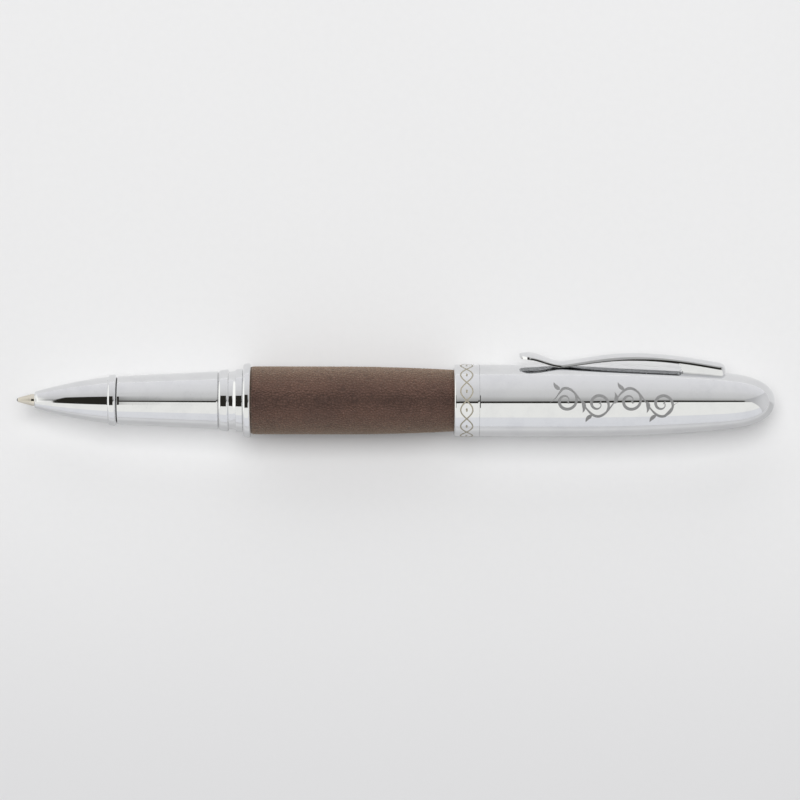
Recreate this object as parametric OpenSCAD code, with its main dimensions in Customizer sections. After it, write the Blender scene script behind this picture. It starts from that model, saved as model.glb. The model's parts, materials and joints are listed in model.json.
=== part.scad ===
// Capped rollerball pen with a leather-covered barrel, cap posted on the tail.
// The pen's axis is the X axis: writing tip at the origin, cap towards +X, side seen from above is +Z.

/* [Refill] */
// Diameter of the writing ball
ball_d = 0.7; // [0.5:0.1:0.8]
// Diameter of the refill's tube
refill_d = 6.1; // [5.1:0.1:7.3]
// Diameter of the metal writing point where it leaves the nose
point_d = 2.39; // [2:0.01:2.8]
// How far the writing point stands out of the nose
tip_out = 3.4; // [2.9:0.1:4.1]
// Length of the metal writing point
point_len = 11; // [9.5:0.5:12]
// Wall of the refill's tube
refill_wall = 0.35; // [0.25:0.05:0.6]
// Diameter of the fibre rod that feeds the ball
wick_d = 1.2; // [0.9:0.1:1.4]
// Pitch of the spring behind the refill
spring_pitch = 0.8; // [0.6:0.1:1]
// Wire of the spring behind the refill
spring_wire = 0.4; // [0.3:0.05:0.5]
// Room for the compressed spring
spring_len = 4; // [3:0.5:6]

/* [Nose and grip] */
// Length of the nose cone in front of its bead
nose_len = 14.1; // [12:0.1:17]
// Width of the bead behind the nose cone
bead_w = 1.65; // [1.3:0.05:2]
// How far the bead stands over the end of the nose cone
bead_rise = 0.45; // [0.3:0.05:0.6]
// Length of the tapered grip
grip_len = 19.4; // [16:0.1:24]
// How much the grip's radius grows along its length
grip_rise = 0.97; // [0.6:0.01:1.2]
// Wall of the grip at its front end
grip_wall = 0.55; // [0.4:0.05:0.8]
// Wall of the brass core inside the grip
core_wall = 0.85; // [0.6:0.05:1.1]
// Width of the dark seams between pieces
seam_w = 0.15; // [0.1:0.05:0.25]

/* [Snap collar] */
// Width of the snap ring
ring_w = 1.95; // [1.6:0.05:2.4]
// How far the snap ring stands over the grip
ring_rise = 0.4; // [0.3:0.05:0.6]
// Width of the snap groove
groove_w = 1.3; // [1.1:0.05:1.6]
// Width of the land behind the groove
land_w = 1.35; // [1.1:0.05:1.7]
// How far the land stands over the snap ring
land_rise = 0.14; // [0.05:0.01:0.2]

/* [Barrel] */
// Width of the large ring in front of the leather
barrel_ring_w = 1.55; // [1.2:0.05:2]
// How far the large ring stands over the leather
barrel_ring_rise = 0.65; // [0.5:0.05:0.9]
// Length of the leather sleeve
sleeve_len = 39.4; // [32.8:0.1:48]
// Thickness of the leather
leather_t = 0.6; // [0.5:0.05:0.75]
// Share of the sleeve that is straight before it tapers
sleeve_straight = 0.43; // [0.2:0.01:0.6]
// Wall of the brass tube under the leather
tube_wall = 0.5; // [0.4:0.05:0.7]
// Wall of the threaded bush
bush_wall = 0.83; // [0.6:0.01:1]
// Wall of the core under its thread
thread_wall = 1.35; // [1.1:0.05:1.6]
// Pitch of the barrel thread
thread_pitch = 1; // [0.75:0.05:1.25]
// Number of turns that unscrew the barrel
thread_turns = 5; // [4:1:6]
// Step from the leather down to the bare tail
tail_step = 0.4; // [0.3:0.05:0.6]

/* [Cap] */
// Wall of the metal cap
cap_wall = 0.45; // [0.35:0.05:0.6]
// Wall of the plastic liner at the cap's mouth
liner_wall = 0.45; // [0.35:0.05:0.6]
// Running clearance of the liner over the snap ring
snap_clear = 0.06; // [0.04:0.01:0.1]
// Running clearance of the cap on the bare tail
post_clear = 0.05; // [0.03:0.01:0.1]
// Width of the decorated band at the mouth
band_w = 4.84; // [4:0.01:5.8]
// How much leather the posted cap covers
cap_overlap = 0.64; // [0.3:0.02:1]
// Length of the cap beyond the tip of the closed pen
cap_head_len = 18.04; // [16.5:0.01:21.6]
// Length of the cap's straight part
cap_straight = 22.3; // [18:0.1:27]
// Radius of the long curve behind the straight part
cap_taper_radius = 304; // [280:1:370]
// Length of the cap's blunt rounded end
dome_len = 15; // [13:0.5:18]
// Free space between the tail and the bottom of the posted cap
tail_clear = 4.6; // [4.2:0.1:5.5]

/* [Clip] */
// Angle of the clip from the +Y direction towards +Z
clip_angle = 15; // [0:1:90]
// Length of the clip
clip_len = 39.3; // [33:0.1:47]
// Length of the solid foot at the clip's rear end
foot_len = 8.4; // [7.4:0.1:10]
// Width of the clip's strap
clip_w = 3.2; // [2.7:0.1:3.8]
// Width of the flared end
paddle_w = 4.3; // [3.8:0.1:5]
// Distance from the free end to the neck that grips
neck_at = 8.2; // [7:0.1:9.8]
// Distance from the free end to the top of the arch
arch_at = 21.9; // [19:0.1:25]
// Height of the gap under the arch
arch_gap = 1.39; // [1.1:0.01:1.7]
// Thickness of the strap at the neck
neck_t = 0.76; // [0.6:0.02:0.9]
// Thickness of the strap at the arch
arch_t = 0.99; // [0.8:0.01:1.2]
// How far the flared end rises over the neck
paddle_lift = 1.65; // [1.2:0.05:2]
// Height of the foot's rear end over the cap
foot_h = 1.85; // [1.5:0.05:2.2]

/* [Hidden] */
$fn = 96;

// Radial clearance of glued and pressed pieces
fit = 0.02;
// Radial clearance of pieces that turn or slide
run_fit = 0.05;
// Length that a tool body runs past what it cuts
past = 1;
// Powers that shape the cap's end: how late it rounds, and how blunt it is
dome_blunt = 5;
dome_full = 0.47;

// Radii, from the refill outwards
ball_r = ball_d / 2;
socket_r = ball_r + 0.02;
point_r = point_d / 2;
wick_r = wick_d / 2;
refill_r = refill_d / 2;
core_bore_r = refill_r + 0.1;
nose_seat_r = refill_r - 0.35;
core_front_r = core_bore_r + 0.45;
core_r = core_bore_r + core_wall;
nose_rear_r = core_front_r + 0.9;
grip_front_r = core_r + fit + grip_wall;
grip_rear_r = grip_front_r + grip_rise;
ring_r = grip_rear_r + ring_rise;
land_r = ring_r + land_rise;
thread_r = core_bore_r + thread_wall;
thread_depth = 0.4;
bush_r = thread_r + run_fit + bush_wall;
tube_r = bush_r + fit + tube_wall;
leather_r = tube_r + leather_t;
barrel_ring_r = leather_r + barrel_ring_rise;
spigot_r = grip_rear_r - 0.09;
leather_rear_r = spigot_r + tail_step;
tail_bore_r = leather_rear_r - leather_t - tube_wall;
spring_room_r = refill_r + 0.45;
liner_bore_r = ring_r + snap_clear;
post_bore_r = spigot_r + post_clear;
snap_bead_r = (ring_r + grip_rear_r) / 2;
liner_r = liner_bore_r + liner_wall;
cap_bore_r = liner_r + fit;
cap_r = cap_bore_r + cap_wall;

// Places along the axis of the section
nose_x = tip_out;
bead_x = nose_x + nose_len;
bead_end_x = bead_x + bead_w;
grip_x = bead_end_x + seam_w;
collar_x = grip_x + grip_len;
groove_x = collar_x + ring_w;
land_x = groove_x + groove_w;
front_len = land_x + land_w;
seat_x = bead_x - 2.5;
thread_len = thread_pitch * thread_turns;
thread_x = front_len + barrel_ring_w + 0.6;
core_end_x = thread_x + thread_len + 1;

// Places along the axis of the barrel
sleeve_x = front_len + barrel_ring_w;
sleeve_end_x = sleeve_x + sleeve_len;
taper_x = sleeve_x + sleeve_len * sleeve_straight;
bush_end_x = core_end_x + 3;

// Places along the axis of the posted cap
mouth_x = sleeve_end_x - cap_overlap;
closed_tip_x = mouth_x + front_len;
cap_end_x = closed_tip_x + cap_head_len;
band_end_x = mouth_x + band_w;
liner_x = mouth_x + land_w + 0.4;
snap_x = mouth_x + land_w + groove_w / 2;
post_x = mouth_x + land_w + groove_w + ring_w + 4.9;
funnel_x = closed_tip_x - tip_out - 2;
screw_x = closed_tip_x + 0.45;
liner_wall_x = screw_x + 1;
tang_x = liner_wall_x + 1.2;
tang_t = 0.8;
insert_x = tang_x + tang_t;
insert_len = cap_head_len * 0.42;
cap_taper_x = mouth_x + cap_straight;
cap_dome_x = cap_end_x - dome_len;
tail_end_x = funnel_x - tail_clear;

// Places inside the tail
plug_len = 1.8;
plug_x = tail_end_x - plug_len;
spring_end_x = plug_x - 1.2;
refill_end_x = spring_end_x - spring_len;
end_plug_x = refill_end_x - 1.5;
refill_tube_x = seat_x + 2;
filler_x = refill_tube_x + 2.6;
wick_end_x = filler_x + 7;

// Places along the clip, whose foot stands round its tang
foot_x = tang_x - 2.6;
clip_end_x = foot_x + foot_len;
clip_tip_x = clip_end_x - clip_len;
neck_x = clip_tip_x + neck_at;
arch_x = clip_tip_x + arch_at;
neck_h = cap_r + 0.03 + neck_t;
arch_h = cap_r + arch_gap + arch_t;
end_round = 1.3;
end_h = cap_radius(clip_end_x - end_round) + foot_h;
foot_gap = 0.05;

// Radius of the cap's outside at x: straight, one long curve, then a blunt rounded end.
function cap_radius(x) =
    let (drop = x > cap_taper_x ? pow(x - cap_taper_x, 2) / (2 * cap_taper_radius) : 0)
    let (s = x > cap_dome_x ? min(1, (x - cap_dome_x) / dome_len) : 0)
    (cap_r - drop) * pow(1 - pow(s, dome_blunt), dome_full);

// Radius of the cap's inside at x, with a wall that thickens a little in the rounded end.
function cap_inside(x) =
    let (s = max(0, (x - cap_dome_x) / dome_len))
    cap_radius(x + 0.5 * s) - cap_wall - 0.1 * s;

// Radius of the leather's outside at x: straight, then a parabola down to the tail.
function leather_radius(x) =
    let (t = max(0, (x - taper_x) / (sleeve_end_x - taper_x)))
    leather_r - (leather_r - leather_rear_r) * t * t;

// Height of the clip's upper face over the pen's axis at x: flared end, neck, arch and fall to the foot.
function clip_top(x) =
    x < neck_x ? neck_h + paddle_lift * (1 - cos(180 * min(1, (neck_x - x) / (neck_at * 0.85)))) / 2 :
    x < arch_x ? neck_h + (arch_h - neck_h) * pow(sin(90 * (x - neck_x) / (arch_x - neck_x)), 1.15) :
    end_h + (arch_h - end_h) * cos(90 * min(1, (x - arch_x) / (clip_end_x - end_round - arch_x)));

// Thickness of the clip at x: thin to the neck, thicker over the arch.
function clip_thickness(x) =
    let (t = min(1, max(0, (x - neck_x) / (arch_x - neck_x))))
    neck_t + (arch_t - neck_t) * t;

// Half the clip's width at x: straight strap, flared end, rounded tip.
function clip_half_width(x) =
    let (t = min(1, max(0, (neck_x - x) / neck_at)))
    let (flare = (clip_w + (paddle_w - clip_w) * (1 - cos(180 * min(1, t * 1.3))) / 2) / 2)
    let (s = min(1, max(0, (clip_tip_x + paddle_w / 2 - x) / (paddle_w / 2))))
    flare * sqrt(1 - s * s);

// Evenly spaced places from a to b in n steps.
function steps(a, b, n) = [for (i = [0 : n]) a + (b - a) * i / n];

// Points [x, r] of a circular arc from p to q that bulges outwards by sag, in n steps.
function arc(p, q, sag, n) =
    let (chord = norm(q - p))
    let (radius = (chord * chord / 4 + sag * sag) / (2 * sag))
    let (half = asin(chord / 2 / radius))
    let (along = (q - p) / chord)
    let (out = [-along[1], along[0]])
    let (centre = (p + q) / 2 - out * (radius - sag))
    [for (i = [0 : n])
        let (a = -half + 2 * half * i / n)
        centre + out * radius * cos(a) + along * radius * sin(a)];

// A solid of revolution about the pen's axis from an outline of [x, r] points.
module turned(outline) {
    rotate([0, 90, 0])
        rotate_extrude()
            polygon([for (p = outline) [p[1], p[0]]]);
}

// A round bar about the pen's axis.
module bar(x, end, r) {
    translate([x, 0, 0])
        rotate([0, 90, 0])
            cylinder(r = r, h = end - x);
}

// A round tube about the pen's axis.
module tube(x, end, r, bore) {
    difference() {
        bar(x, end, r);
        bar(x - past, end + past, bore);
    }
}

// A ball on the pen's axis.
module round_ball(x, r) {
    translate([x, 0, 0])
        sphere(r = r);
}

module refill_ball() {
    color("dimgray")
        round_ball(ball_r, ball_r);
}

// The metal writing point: a cone with a socket that holds the ball, and a bore for the wick.
module refill_tip() {
    lip_x = ball_r * 0.7;
    shoulder_x = tip_out * 0.83;
    color("tan")
        difference() {
            turned([
                [lip_x, 0], [lip_x, socket_r + 0.03], [shoulder_x, point_r], [point_len, point_r], [point_len, 0]
            ]);
            round_ball(ball_r, socket_r);
            bar(ball_r, shoulder_x + past, 0.15);
            bar(shoulder_x + 0.4, point_len + past, wick_r + fit);
        }
}

// The moulded holder that joins the writing point to the refill's tube.
module tip_holder() {
    holder_x = point_len - 3;
    color("whitesmoke")
        difference() {
            turned([
                [holder_x, 0], [holder_x, point_r + 0.5], [seat_x - 3, nose_seat_r - 0.12],
                [seat_x + run_fit, nose_seat_r - 0.12], [seat_x + run_fit, refill_r],
                [refill_tube_x, refill_r], [refill_tube_x, refill_r - refill_wall - fit],
                [filler_x - 0.1, refill_r - refill_wall - fit], [filler_x - 0.1, 0]
            ]);
            bar(holder_x - past, point_len, point_r + fit);
            bar(holder_x, filler_x + past, wick_r + fit);
        }
}

module refill_tube() {
    color("silver")
        tube(refill_tube_x, end_plug_x, refill_r, refill_r - refill_wall);
}

// The fibre cylinder that holds the ink.
module ink_filler() {
    color("midnightblue")
        difference() {
            bar(filler_x, end_plug_x - 1.6, refill_r - refill_wall - 0.05);
            bar(filler_x - past, wick_end_x + 0.1, wick_r + fit);
        }
}

module ink_wick() {
    color("navy")
        bar(tip_out * 0.83 + 0.5, wick_end_x, wick_r);
}

module refill_end_plug() {
    color("ivory")
        union() {
            bar(end_plug_x - 1.5, end_plug_x, refill_r - refill_wall - fit);
            bar(end_plug_x, refill_end_x, refill_r);
        }
}

// The nose cone with its bead. A shoulder inside it stops the refill, and the core screws in behind.
module nose_cone() {
    lip_r = point_r + 0.16;
    lip_x = nose_x + 0.44;
    lip_end_r = point_r + 0.48;
    mouth_bore_r = point_r + run_fit;
    color("lightgray")
        difference() {
            turned(concat(
                [[nose_x, 0]],
                arc([nose_x, lip_r], [lip_x, lip_end_r], 0.08, 3),
                arc([lip_x, lip_end_r], [bead_x, nose_rear_r], 0.27, 12),
                arc([bead_x + 0.02, nose_rear_r], [bead_end_x, nose_rear_r - 0.08], bead_rise, 12),
                [[bead_end_x, grip_front_r - 0.2], [grip_x, grip_front_r - 0.2], [grip_x, 0]]
            ));
            turned([
                [nose_x - past, 0], [nose_x - past, mouth_bore_r], [nose_x + 1.2, mouth_bore_r],
                [seat_x - 3, nose_seat_r], [seat_x, nose_seat_r], [seat_x, core_front_r + fit],
                [grip_x + past, core_front_r + fit], [grip_x + past, 0]
            ]);
        }
}

// The tapered metal grip.
module grip_tube() {
    color("gainsboro")
        difference() {
            turned([
                [grip_x, 0], [grip_x, grip_front_r], [collar_x - seam_w, grip_rear_r],
                [collar_x - seam_w, grip_rear_r - 0.25], [collar_x, grip_rear_r - 0.25], [collar_x, 0]
            ]);
            bar(grip_x - past, collar_x + past, core_r + fit);
        }
}

// The brass core: holds the refill, carries nose, grip and collar, and screws into the barrel.
module section_core() {
    relief_r = thread_r - thread_depth;
    color("goldenrod")
        difference() {
            turned(concat(
                [[seat_x, 0], [seat_x, core_front_r], [grip_x, core_front_r], [grip_x, core_r],
                 [collar_x, core_r], [collar_x, thread_r], [front_len, thread_r], [front_len, relief_r],
                 [thread_x, relief_r]],
                [for (i = [0 : thread_turns - 1], side = [0 : 2])
                    [thread_x + thread_pitch * (i + [0.2, 0.5, 0.9][side]), [relief_r, thread_r, relief_r][side]]],
                [[core_end_x, relief_r], [core_end_x, 0]]
            ));
            bar(seat_x - past, core_end_x + past, core_bore_r);
        }
}

// The collar that the closed cap snaps onto: ring, groove and land in one piece.
module snap_collar() {
    soft = 0.25;
    color("lightgray")
        difference() {
            turned(concat(
                [[collar_x, 0]],
                arc([collar_x, ring_r - 0.2], [groove_x, ring_r - 0.2], 0.2, 8),
                [[groove_x, grip_rear_r], [land_x - soft, grip_rear_r], [land_x, grip_rear_r + soft],
                 [land_x + 0.05, land_r - 0.1], [land_x + 0.15, land_r],
                 [front_len - 0.15, land_r], [front_len - 0.05, land_r - 0.1], [front_len - 0.05, grip_rear_r],
                 [front_len, grip_rear_r], [front_len, 0]]
            ));
            bar(collar_x - past, front_len + past, thread_r + fit);
        }
}

// The large half-round ring in front of the leather.
module barrel_ring() {
    bulge = 0.62;
    color("lightgray")
        difference() {
            turned(concat(
                [[front_len, 0]],
                arc([front_len, barrel_ring_r - bulge], [sleeve_x, barrel_ring_r - bulge], bulge, 14),
                [[sleeve_x, 0]]
            ));
            bar(front_len - past, sleeve_x + past, thread_r + run_fit);
        }
}

// The brass tube under the leather, stepped inside to take the bush in front and the tail behind.
module barrel_tube() {
    color("darkgoldenrod")
        difference() {
            turned(concat(
                [[sleeve_x, 0], [sleeve_x, tube_r]],
                [for (x = steps(taper_x, sleeve_end_x, 8)) [x, leather_radius(x) - leather_t]],
                [[sleeve_end_x, 0]]
            ));
            bar(sleeve_x - past, bush_end_x, bush_r + fit);
            bar(bush_end_x - past, sleeve_end_x + past, tail_bore_r);
        }
}

// The leather sleeve, with its edges turned down at both ends.
module leather_sleeve() {
    edge = 0.25;
    color("dimgray")
        difference() {
            turned(concat(
                [[sleeve_x + 0.03, 0]],
                arc([sleeve_x + 0.03, leather_r - edge], [sleeve_x + 0.03 + edge, leather_r], 0.07, 3),
                [for (x = steps(taper_x, sleeve_end_x - edge, 10)) [x, leather_radius(x)]],
                [[sleeve_end_x, leather_rear_r - edge], [sleeve_end_x, 0]]
            ));
            turned(concat(
                [[sleeve_x - past, 0], [sleeve_x - past, tube_r + fit]],
                [for (x = steps(taper_x, sleeve_end_x, 8)) [x, leather_radius(x) - leather_t + fit]],
                [[sleeve_end_x + past, leather_rear_r - leather_t + fit], [sleeve_end_x + past, 0]]
            ));
        }
}

// The brass bush that the section screws into.
module thread_bush() {
    color("goldenrod")
        tube(sleeve_x, bush_end_x, bush_r, thread_r + run_fit);
}

// The bare metal tail that the cap is posted on.
module tail_spigot() {
    plug_in = 6;
    color("gray")
        difference() {
            turned([
                [sleeve_end_x - plug_in, 0], [sleeve_end_x - plug_in, tail_bore_r - fit],
                [sleeve_end_x, tail_bore_r - fit], [sleeve_end_x, spigot_r], [plug_x, spigot_r], [plug_x, 0]
            ]);
            bar(sleeve_end_x - plug_in - past, plug_x + past, spring_room_r);
        }
}

// The domed plug that closes the tail and backs the spring.
module tail_plug() {
    edge = 1.2;
    color("silver")
        union() {
            bar(spring_end_x, plug_x, spring_room_r - fit);
            turned(concat(
                [[plug_x, 0], [plug_x, spigot_r]],
                [for (a = steps(0, 90, 6))
                    [tail_end_x - edge + edge * sin(a), spigot_r - edge * 1.6 * (1 - cos(a))]],
                [[tail_end_x, 0]]
            ));
        }
}

// The small compression spring that keeps the refill forward: one round wire swept along a helix.
module refill_spring() {
    coil_r = refill_r - 0.55;
    sides = 8;
    per_turn = 18;
    wire_r = spring_wire / 2;
    climb = spring_len - spring_wire - 0.06;
    turns = climb / spring_pitch;
    count = ceil(turns * per_turn);
    rings = [for (i = [0 : count])
        let (turn = turns * 360 * i / count)
        [for (k = [0 : sides - 1])
            let (a = 360 * k / sides)
            let (r = coil_r + wire_r * cos(a))
            [refill_end_x + wire_r + 0.03 + climb * i / count + wire_r * sin(a), r * cos(turn), r * sin(turn)]]];
    points = [for (ring = rings) for (p = ring) p];
    walls = [for (i = [0 : count - 1], k = [0 : sides - 1])
        [i * sides + k, (i + 1) * sides + k, (i + 1) * sides + (k + 1) % sides, i * sides + (k + 1) % sides]];
    first = [for (k = [0 : sides - 1]) k];
    last = [for (k = [sides - 1 : -1 : 0]) count * sides + k];
    color("slategray")
        polyhedron(points = points, faces = concat([first], walls, [last]));
}

// The band at the cap's mouth, with a rounded lip.
module mouth_band() {
    lip = 0.3;
    color("lightgray")
        difference() {
            turned(concat(
                [[mouth_x, 0], [mouth_x, cap_r - lip]],
                [for (a = steps(15, 90, 5)) [mouth_x + lip - lip * cos(a), cap_r - lip + lip * sin(a)]],
                [[band_end_x - 0.08, cap_r], [band_end_x, cap_r - 0.12], [band_end_x, 0]]
            ));
            bar(mouth_x - past, band_end_x + past, cap_bore_r);
        }
}

// The cap's drawn metal shell with its closed rounded end, and a slot for the clip's tang.
module cap_shell() {
    dome_stop = cap_end_x - cap_wall - 0.35;
    color("lightgray")
        difference() {
            turned(concat(
                [[band_end_x, 0], [band_end_x, cap_r - 0.12], [band_end_x + 0.08, cap_r], [cap_taper_x, cap_r]],
                [for (x = steps(cap_taper_x, cap_dome_x, 10)) if (x > cap_taper_x) [x, cap_radius(x)]],
                [for (a = steps(6, 90, 16)) let (x = cap_dome_x + dome_len * sin(a)) [x, cap_radius(x)]]
            ));
            turned(concat(
                [[band_end_x - past, 0], [band_end_x - past, cap_bore_r], [cap_taper_x, cap_bore_r]],
                [for (x = steps(cap_taper_x, cap_dome_x, 10)) if (x > cap_taper_x) [x, cap_radius(x) - cap_wall]],
                [for (a = steps(6, 90, 10)) let (x = cap_dome_x + (dome_stop - cap_dome_x) * sin(a)) [x, cap_inside(x)]],
                [[dome_stop, 0]]
            ));
            clip_frame()
                translate([tang_x - foot_gap, -clip_w / 2, 0])
                    cube([tang_t + 2 * foot_gap, clip_w, cap_r + past]);
        }
}

// The moulded liner: snap bead and wide bore at the mouth, posting bore, then a funnel for the closed tip.
module cap_liner() {
    snap_half = groove_w / 2;
    well_r = point_r + 0.45;
    color("dimgray")
        difference() {
            turned(concat(
                [[liner_x, 0], [liner_x, liner_r]],
                [for (x = steps(cap_taper_x, tang_x, 10)) [x, min(liner_r, cap_radius(x) - cap_wall - fit)]],
                [[tang_x, 0]]
            ));
            turned([
                [liner_x - past, 0], [liner_x - past, liner_bore_r], [snap_x - snap_half, liner_bore_r],
                [snap_x - 0.1, snap_bead_r], [snap_x + 0.1, snap_bead_r], [snap_x + snap_half, liner_bore_r],
                [post_x - 1.5, liner_bore_r], [post_x, post_bore_r], [funnel_x, post_bore_r],
                [funnel_x, post_bore_r - 0.5], [funnel_x + 2.4, well_r + 0.2], [closed_tip_x - 1, well_r],
                [liner_wall_x, well_r], [liner_wall_x, 0]
            ]);
            bar(liner_wall_x - past, tang_x + past, 0.85);
        }
}

// The threaded brass block inside the cap's end that the screw pulls against.
module dome_insert() {
    color("goldenrod")
        difference() {
            turned(concat(
                [[insert_x, 0]],
                [for (x = steps(insert_x, insert_x + insert_len, 8)) [x, cap_inside(x) - 3 * fit]],
                [[insert_x + insert_len, 0]]
            ));
            bar(insert_x - past, insert_x + insert_len * 0.75, 0.85);
        }
}

// The screw that holds the liner and the clip's tang to the insert.
module liner_screw() {
    head_r = point_r + 0.3;
    color("silver")
        difference() {
            union() {
                bar(screw_x, liner_wall_x, head_r);
                bar(liner_wall_x, insert_x + insert_len * 0.7, 0.8);
            }
            translate([screw_x - past, -head_r - past, -0.15])
                cube([past + 0.4, 2 * (head_r + past), 0.3]);
        }
}

// Turns a shape that stands along +Z so that it stands along the clip's own direction.
module clip_frame() {
    rotate([clip_angle - 90, 0, 0])
        children();
}

// The clip's plan outline, as a block from low to high.
module clip_plan(low, high) {
    right = [for (a = steps(0, 90, 8)) clip_tip_x + paddle_w / 2 * (1 - cos(a))];
    along = concat(right, steps(clip_tip_x + paddle_w / 2 + 0.6, neck_x, 6));
    edge = [for (x = along) [x, clip_half_width(x)]];
    rear = [[clip_end_x + past, clip_w / 2], [clip_end_x + past, -clip_w / 2]];
    back = [for (i = [len(edge) - 1 : -1 : 1]) [edge[i][0], -edge[i][1]]];
    translate([0, 0, low])
        linear_extrude(high - low)
            polygon(concat(edge, rear, back));
}

// The clip's side outline between two places, down to its own thickness or to a floor height.
module clip_side(xs, underside) {
    rotate([90, 0, 0])
        translate([0, 0, -paddle_w])
            linear_extrude(2 * paddle_w)
                polygon(concat([for (x = xs) [x, clip_top(x)]], underside));
}

// The springing strap of the clip with its flared free end.
module clip_arm() {
    xs = concat(
        steps(clip_tip_x, neck_x, 10),
        [for (x = steps(neck_x, arch_x, 10)) if (x > neck_x) x],
        [for (x = steps(arch_x, foot_x - foot_gap, 6)) if (x > arch_x) x]
    );
    under = [for (i = [len(xs) - 1 : -1 : 0]) [xs[i], clip_top(xs[i]) - clip_thickness(xs[i])]];
    color("silver")
        clip_frame()
            intersection() {
                clip_side(xs, under);
                clip_plan(0, 2 * cap_r);
            }
}

// The clip's solid foot, saddled on the cap, and the tang that passes through the slot to the screw.
module clip_foot() {
    xs = steps(foot_x, clip_end_x - end_round, 5);
    low_h = cap_radius(clip_end_x) - 1;
    rear = [for (a = steps(15, 90, 5))
        [clip_end_x - end_round + end_round * sin(a), end_h - end_round + end_round * cos(a)]];
    tang_reach = 1.7;
    color("silver")
        difference() {
            union() {
                difference() {
                    clip_frame()
                        intersection() {
                            clip_side(xs, concat(rear, [[clip_end_x, low_h], [foot_x, low_h]]));
                            clip_plan(0, 2 * cap_r);
                        }
                    turned(concat(
                        [for (x = steps(foot_x - past, clip_end_x + past, 12)) [x, cap_radius(x) + fit]],
                        [[clip_end_x + past, 0], [foot_x - past, 0]]
                    ));
                }
                clip_frame()
                    translate([tang_x, -clip_w / 2 + foot_gap, -tang_reach])
                        cube([tang_t, clip_w - 2 * foot_gap, cap_radius(tang_x) + 0.6 + tang_reach]);
            }
            bar(tang_x - past, insert_x + past, 0.85);
        }
}

refill_ball();
refill_tip();
tip_holder();
refill_tube();
ink_filler();
ink_wick();
refill_end_plug();
nose_cone();
grip_tube();
section_core();
snap_collar();
barrel_ring();
barrel_tube();
leather_sleeve();
thread_bush();
tail_spigot();
tail_plug();
refill_spring();
mouth_band();
cap_shell();
cap_liner();
dome_insert();
liner_screw();
clip_foot();
clip_arm();
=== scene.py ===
"""A capped rollerball pen with a leather sleeve, lying on a pale floor with its cap posted on the tail.

The pen's axis is the X axis with the writing tip at the origin. Shapes are worked out in millimetres
from the boxes of the CAD nodes and turned into metres when a mesh is made.
"""
import json
import math

import bpy
import numpy as np
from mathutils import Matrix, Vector


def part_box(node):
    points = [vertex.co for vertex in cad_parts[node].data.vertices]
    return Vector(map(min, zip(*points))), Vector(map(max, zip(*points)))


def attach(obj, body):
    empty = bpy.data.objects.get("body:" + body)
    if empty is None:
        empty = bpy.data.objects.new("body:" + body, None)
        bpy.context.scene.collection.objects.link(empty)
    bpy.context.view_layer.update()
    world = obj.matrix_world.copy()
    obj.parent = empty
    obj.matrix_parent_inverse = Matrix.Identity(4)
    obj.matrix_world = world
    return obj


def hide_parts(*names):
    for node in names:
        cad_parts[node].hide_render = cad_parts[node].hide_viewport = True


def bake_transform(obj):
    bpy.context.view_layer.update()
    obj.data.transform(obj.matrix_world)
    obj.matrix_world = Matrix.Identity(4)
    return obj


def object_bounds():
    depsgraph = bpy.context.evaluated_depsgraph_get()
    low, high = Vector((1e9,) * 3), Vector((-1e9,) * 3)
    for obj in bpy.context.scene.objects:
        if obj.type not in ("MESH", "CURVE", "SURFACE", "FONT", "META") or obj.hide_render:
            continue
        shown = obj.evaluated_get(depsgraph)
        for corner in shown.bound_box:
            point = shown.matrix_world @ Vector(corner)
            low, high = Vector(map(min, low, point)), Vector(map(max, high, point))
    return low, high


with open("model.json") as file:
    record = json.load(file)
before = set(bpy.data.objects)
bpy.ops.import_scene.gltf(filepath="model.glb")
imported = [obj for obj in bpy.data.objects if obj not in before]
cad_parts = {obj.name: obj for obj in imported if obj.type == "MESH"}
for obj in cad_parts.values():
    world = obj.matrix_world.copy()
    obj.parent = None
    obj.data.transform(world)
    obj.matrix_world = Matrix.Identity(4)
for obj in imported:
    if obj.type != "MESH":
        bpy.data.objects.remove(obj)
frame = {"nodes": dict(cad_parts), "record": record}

CAD_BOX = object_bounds()
MM = 0.001


# ---------------------------------------------------------------- sizes, in millimetres

def ends(node):
    """Front end, rear end and largest radius of a turned CAD node."""
    low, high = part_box(node)
    return low.x / MM, high.x / MM, high.z / MM


BALL_X, _, BALL_R = ends("refill_ball")
_, POINT_END, POINT_R = ends("refill_tip")
NOSE_X, GRIP_X, BEAD_R = ends("nose_cone")
_, COLLAR_X, GRIP_R = ends("grip_tube")
CORE_X, CORE_END, THREAD_R = ends("section_core")
_, RING_X, LAND_R = ends("snap_collar")
_, SLEEVE_X, BARREL_RING_R = ends("barrel_ring")
_, SLEEVE_END, LEATHER_R = ends("leather_sleeve")
_, _, SPIGOT_R = ends("tail_spigot")
MOUTH_X, BAND_END, CAP_R = ends("mouth_band")
_, CAP_END, _ = ends("cap_shell")
SPRING_X, SPRING_END, SPRING_R = ends("refill_spring")
FOOT_X, CLIP_END = (v.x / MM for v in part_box("clip_foot"))
CLIP_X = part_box("clip_arm")[0].x / MM

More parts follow.
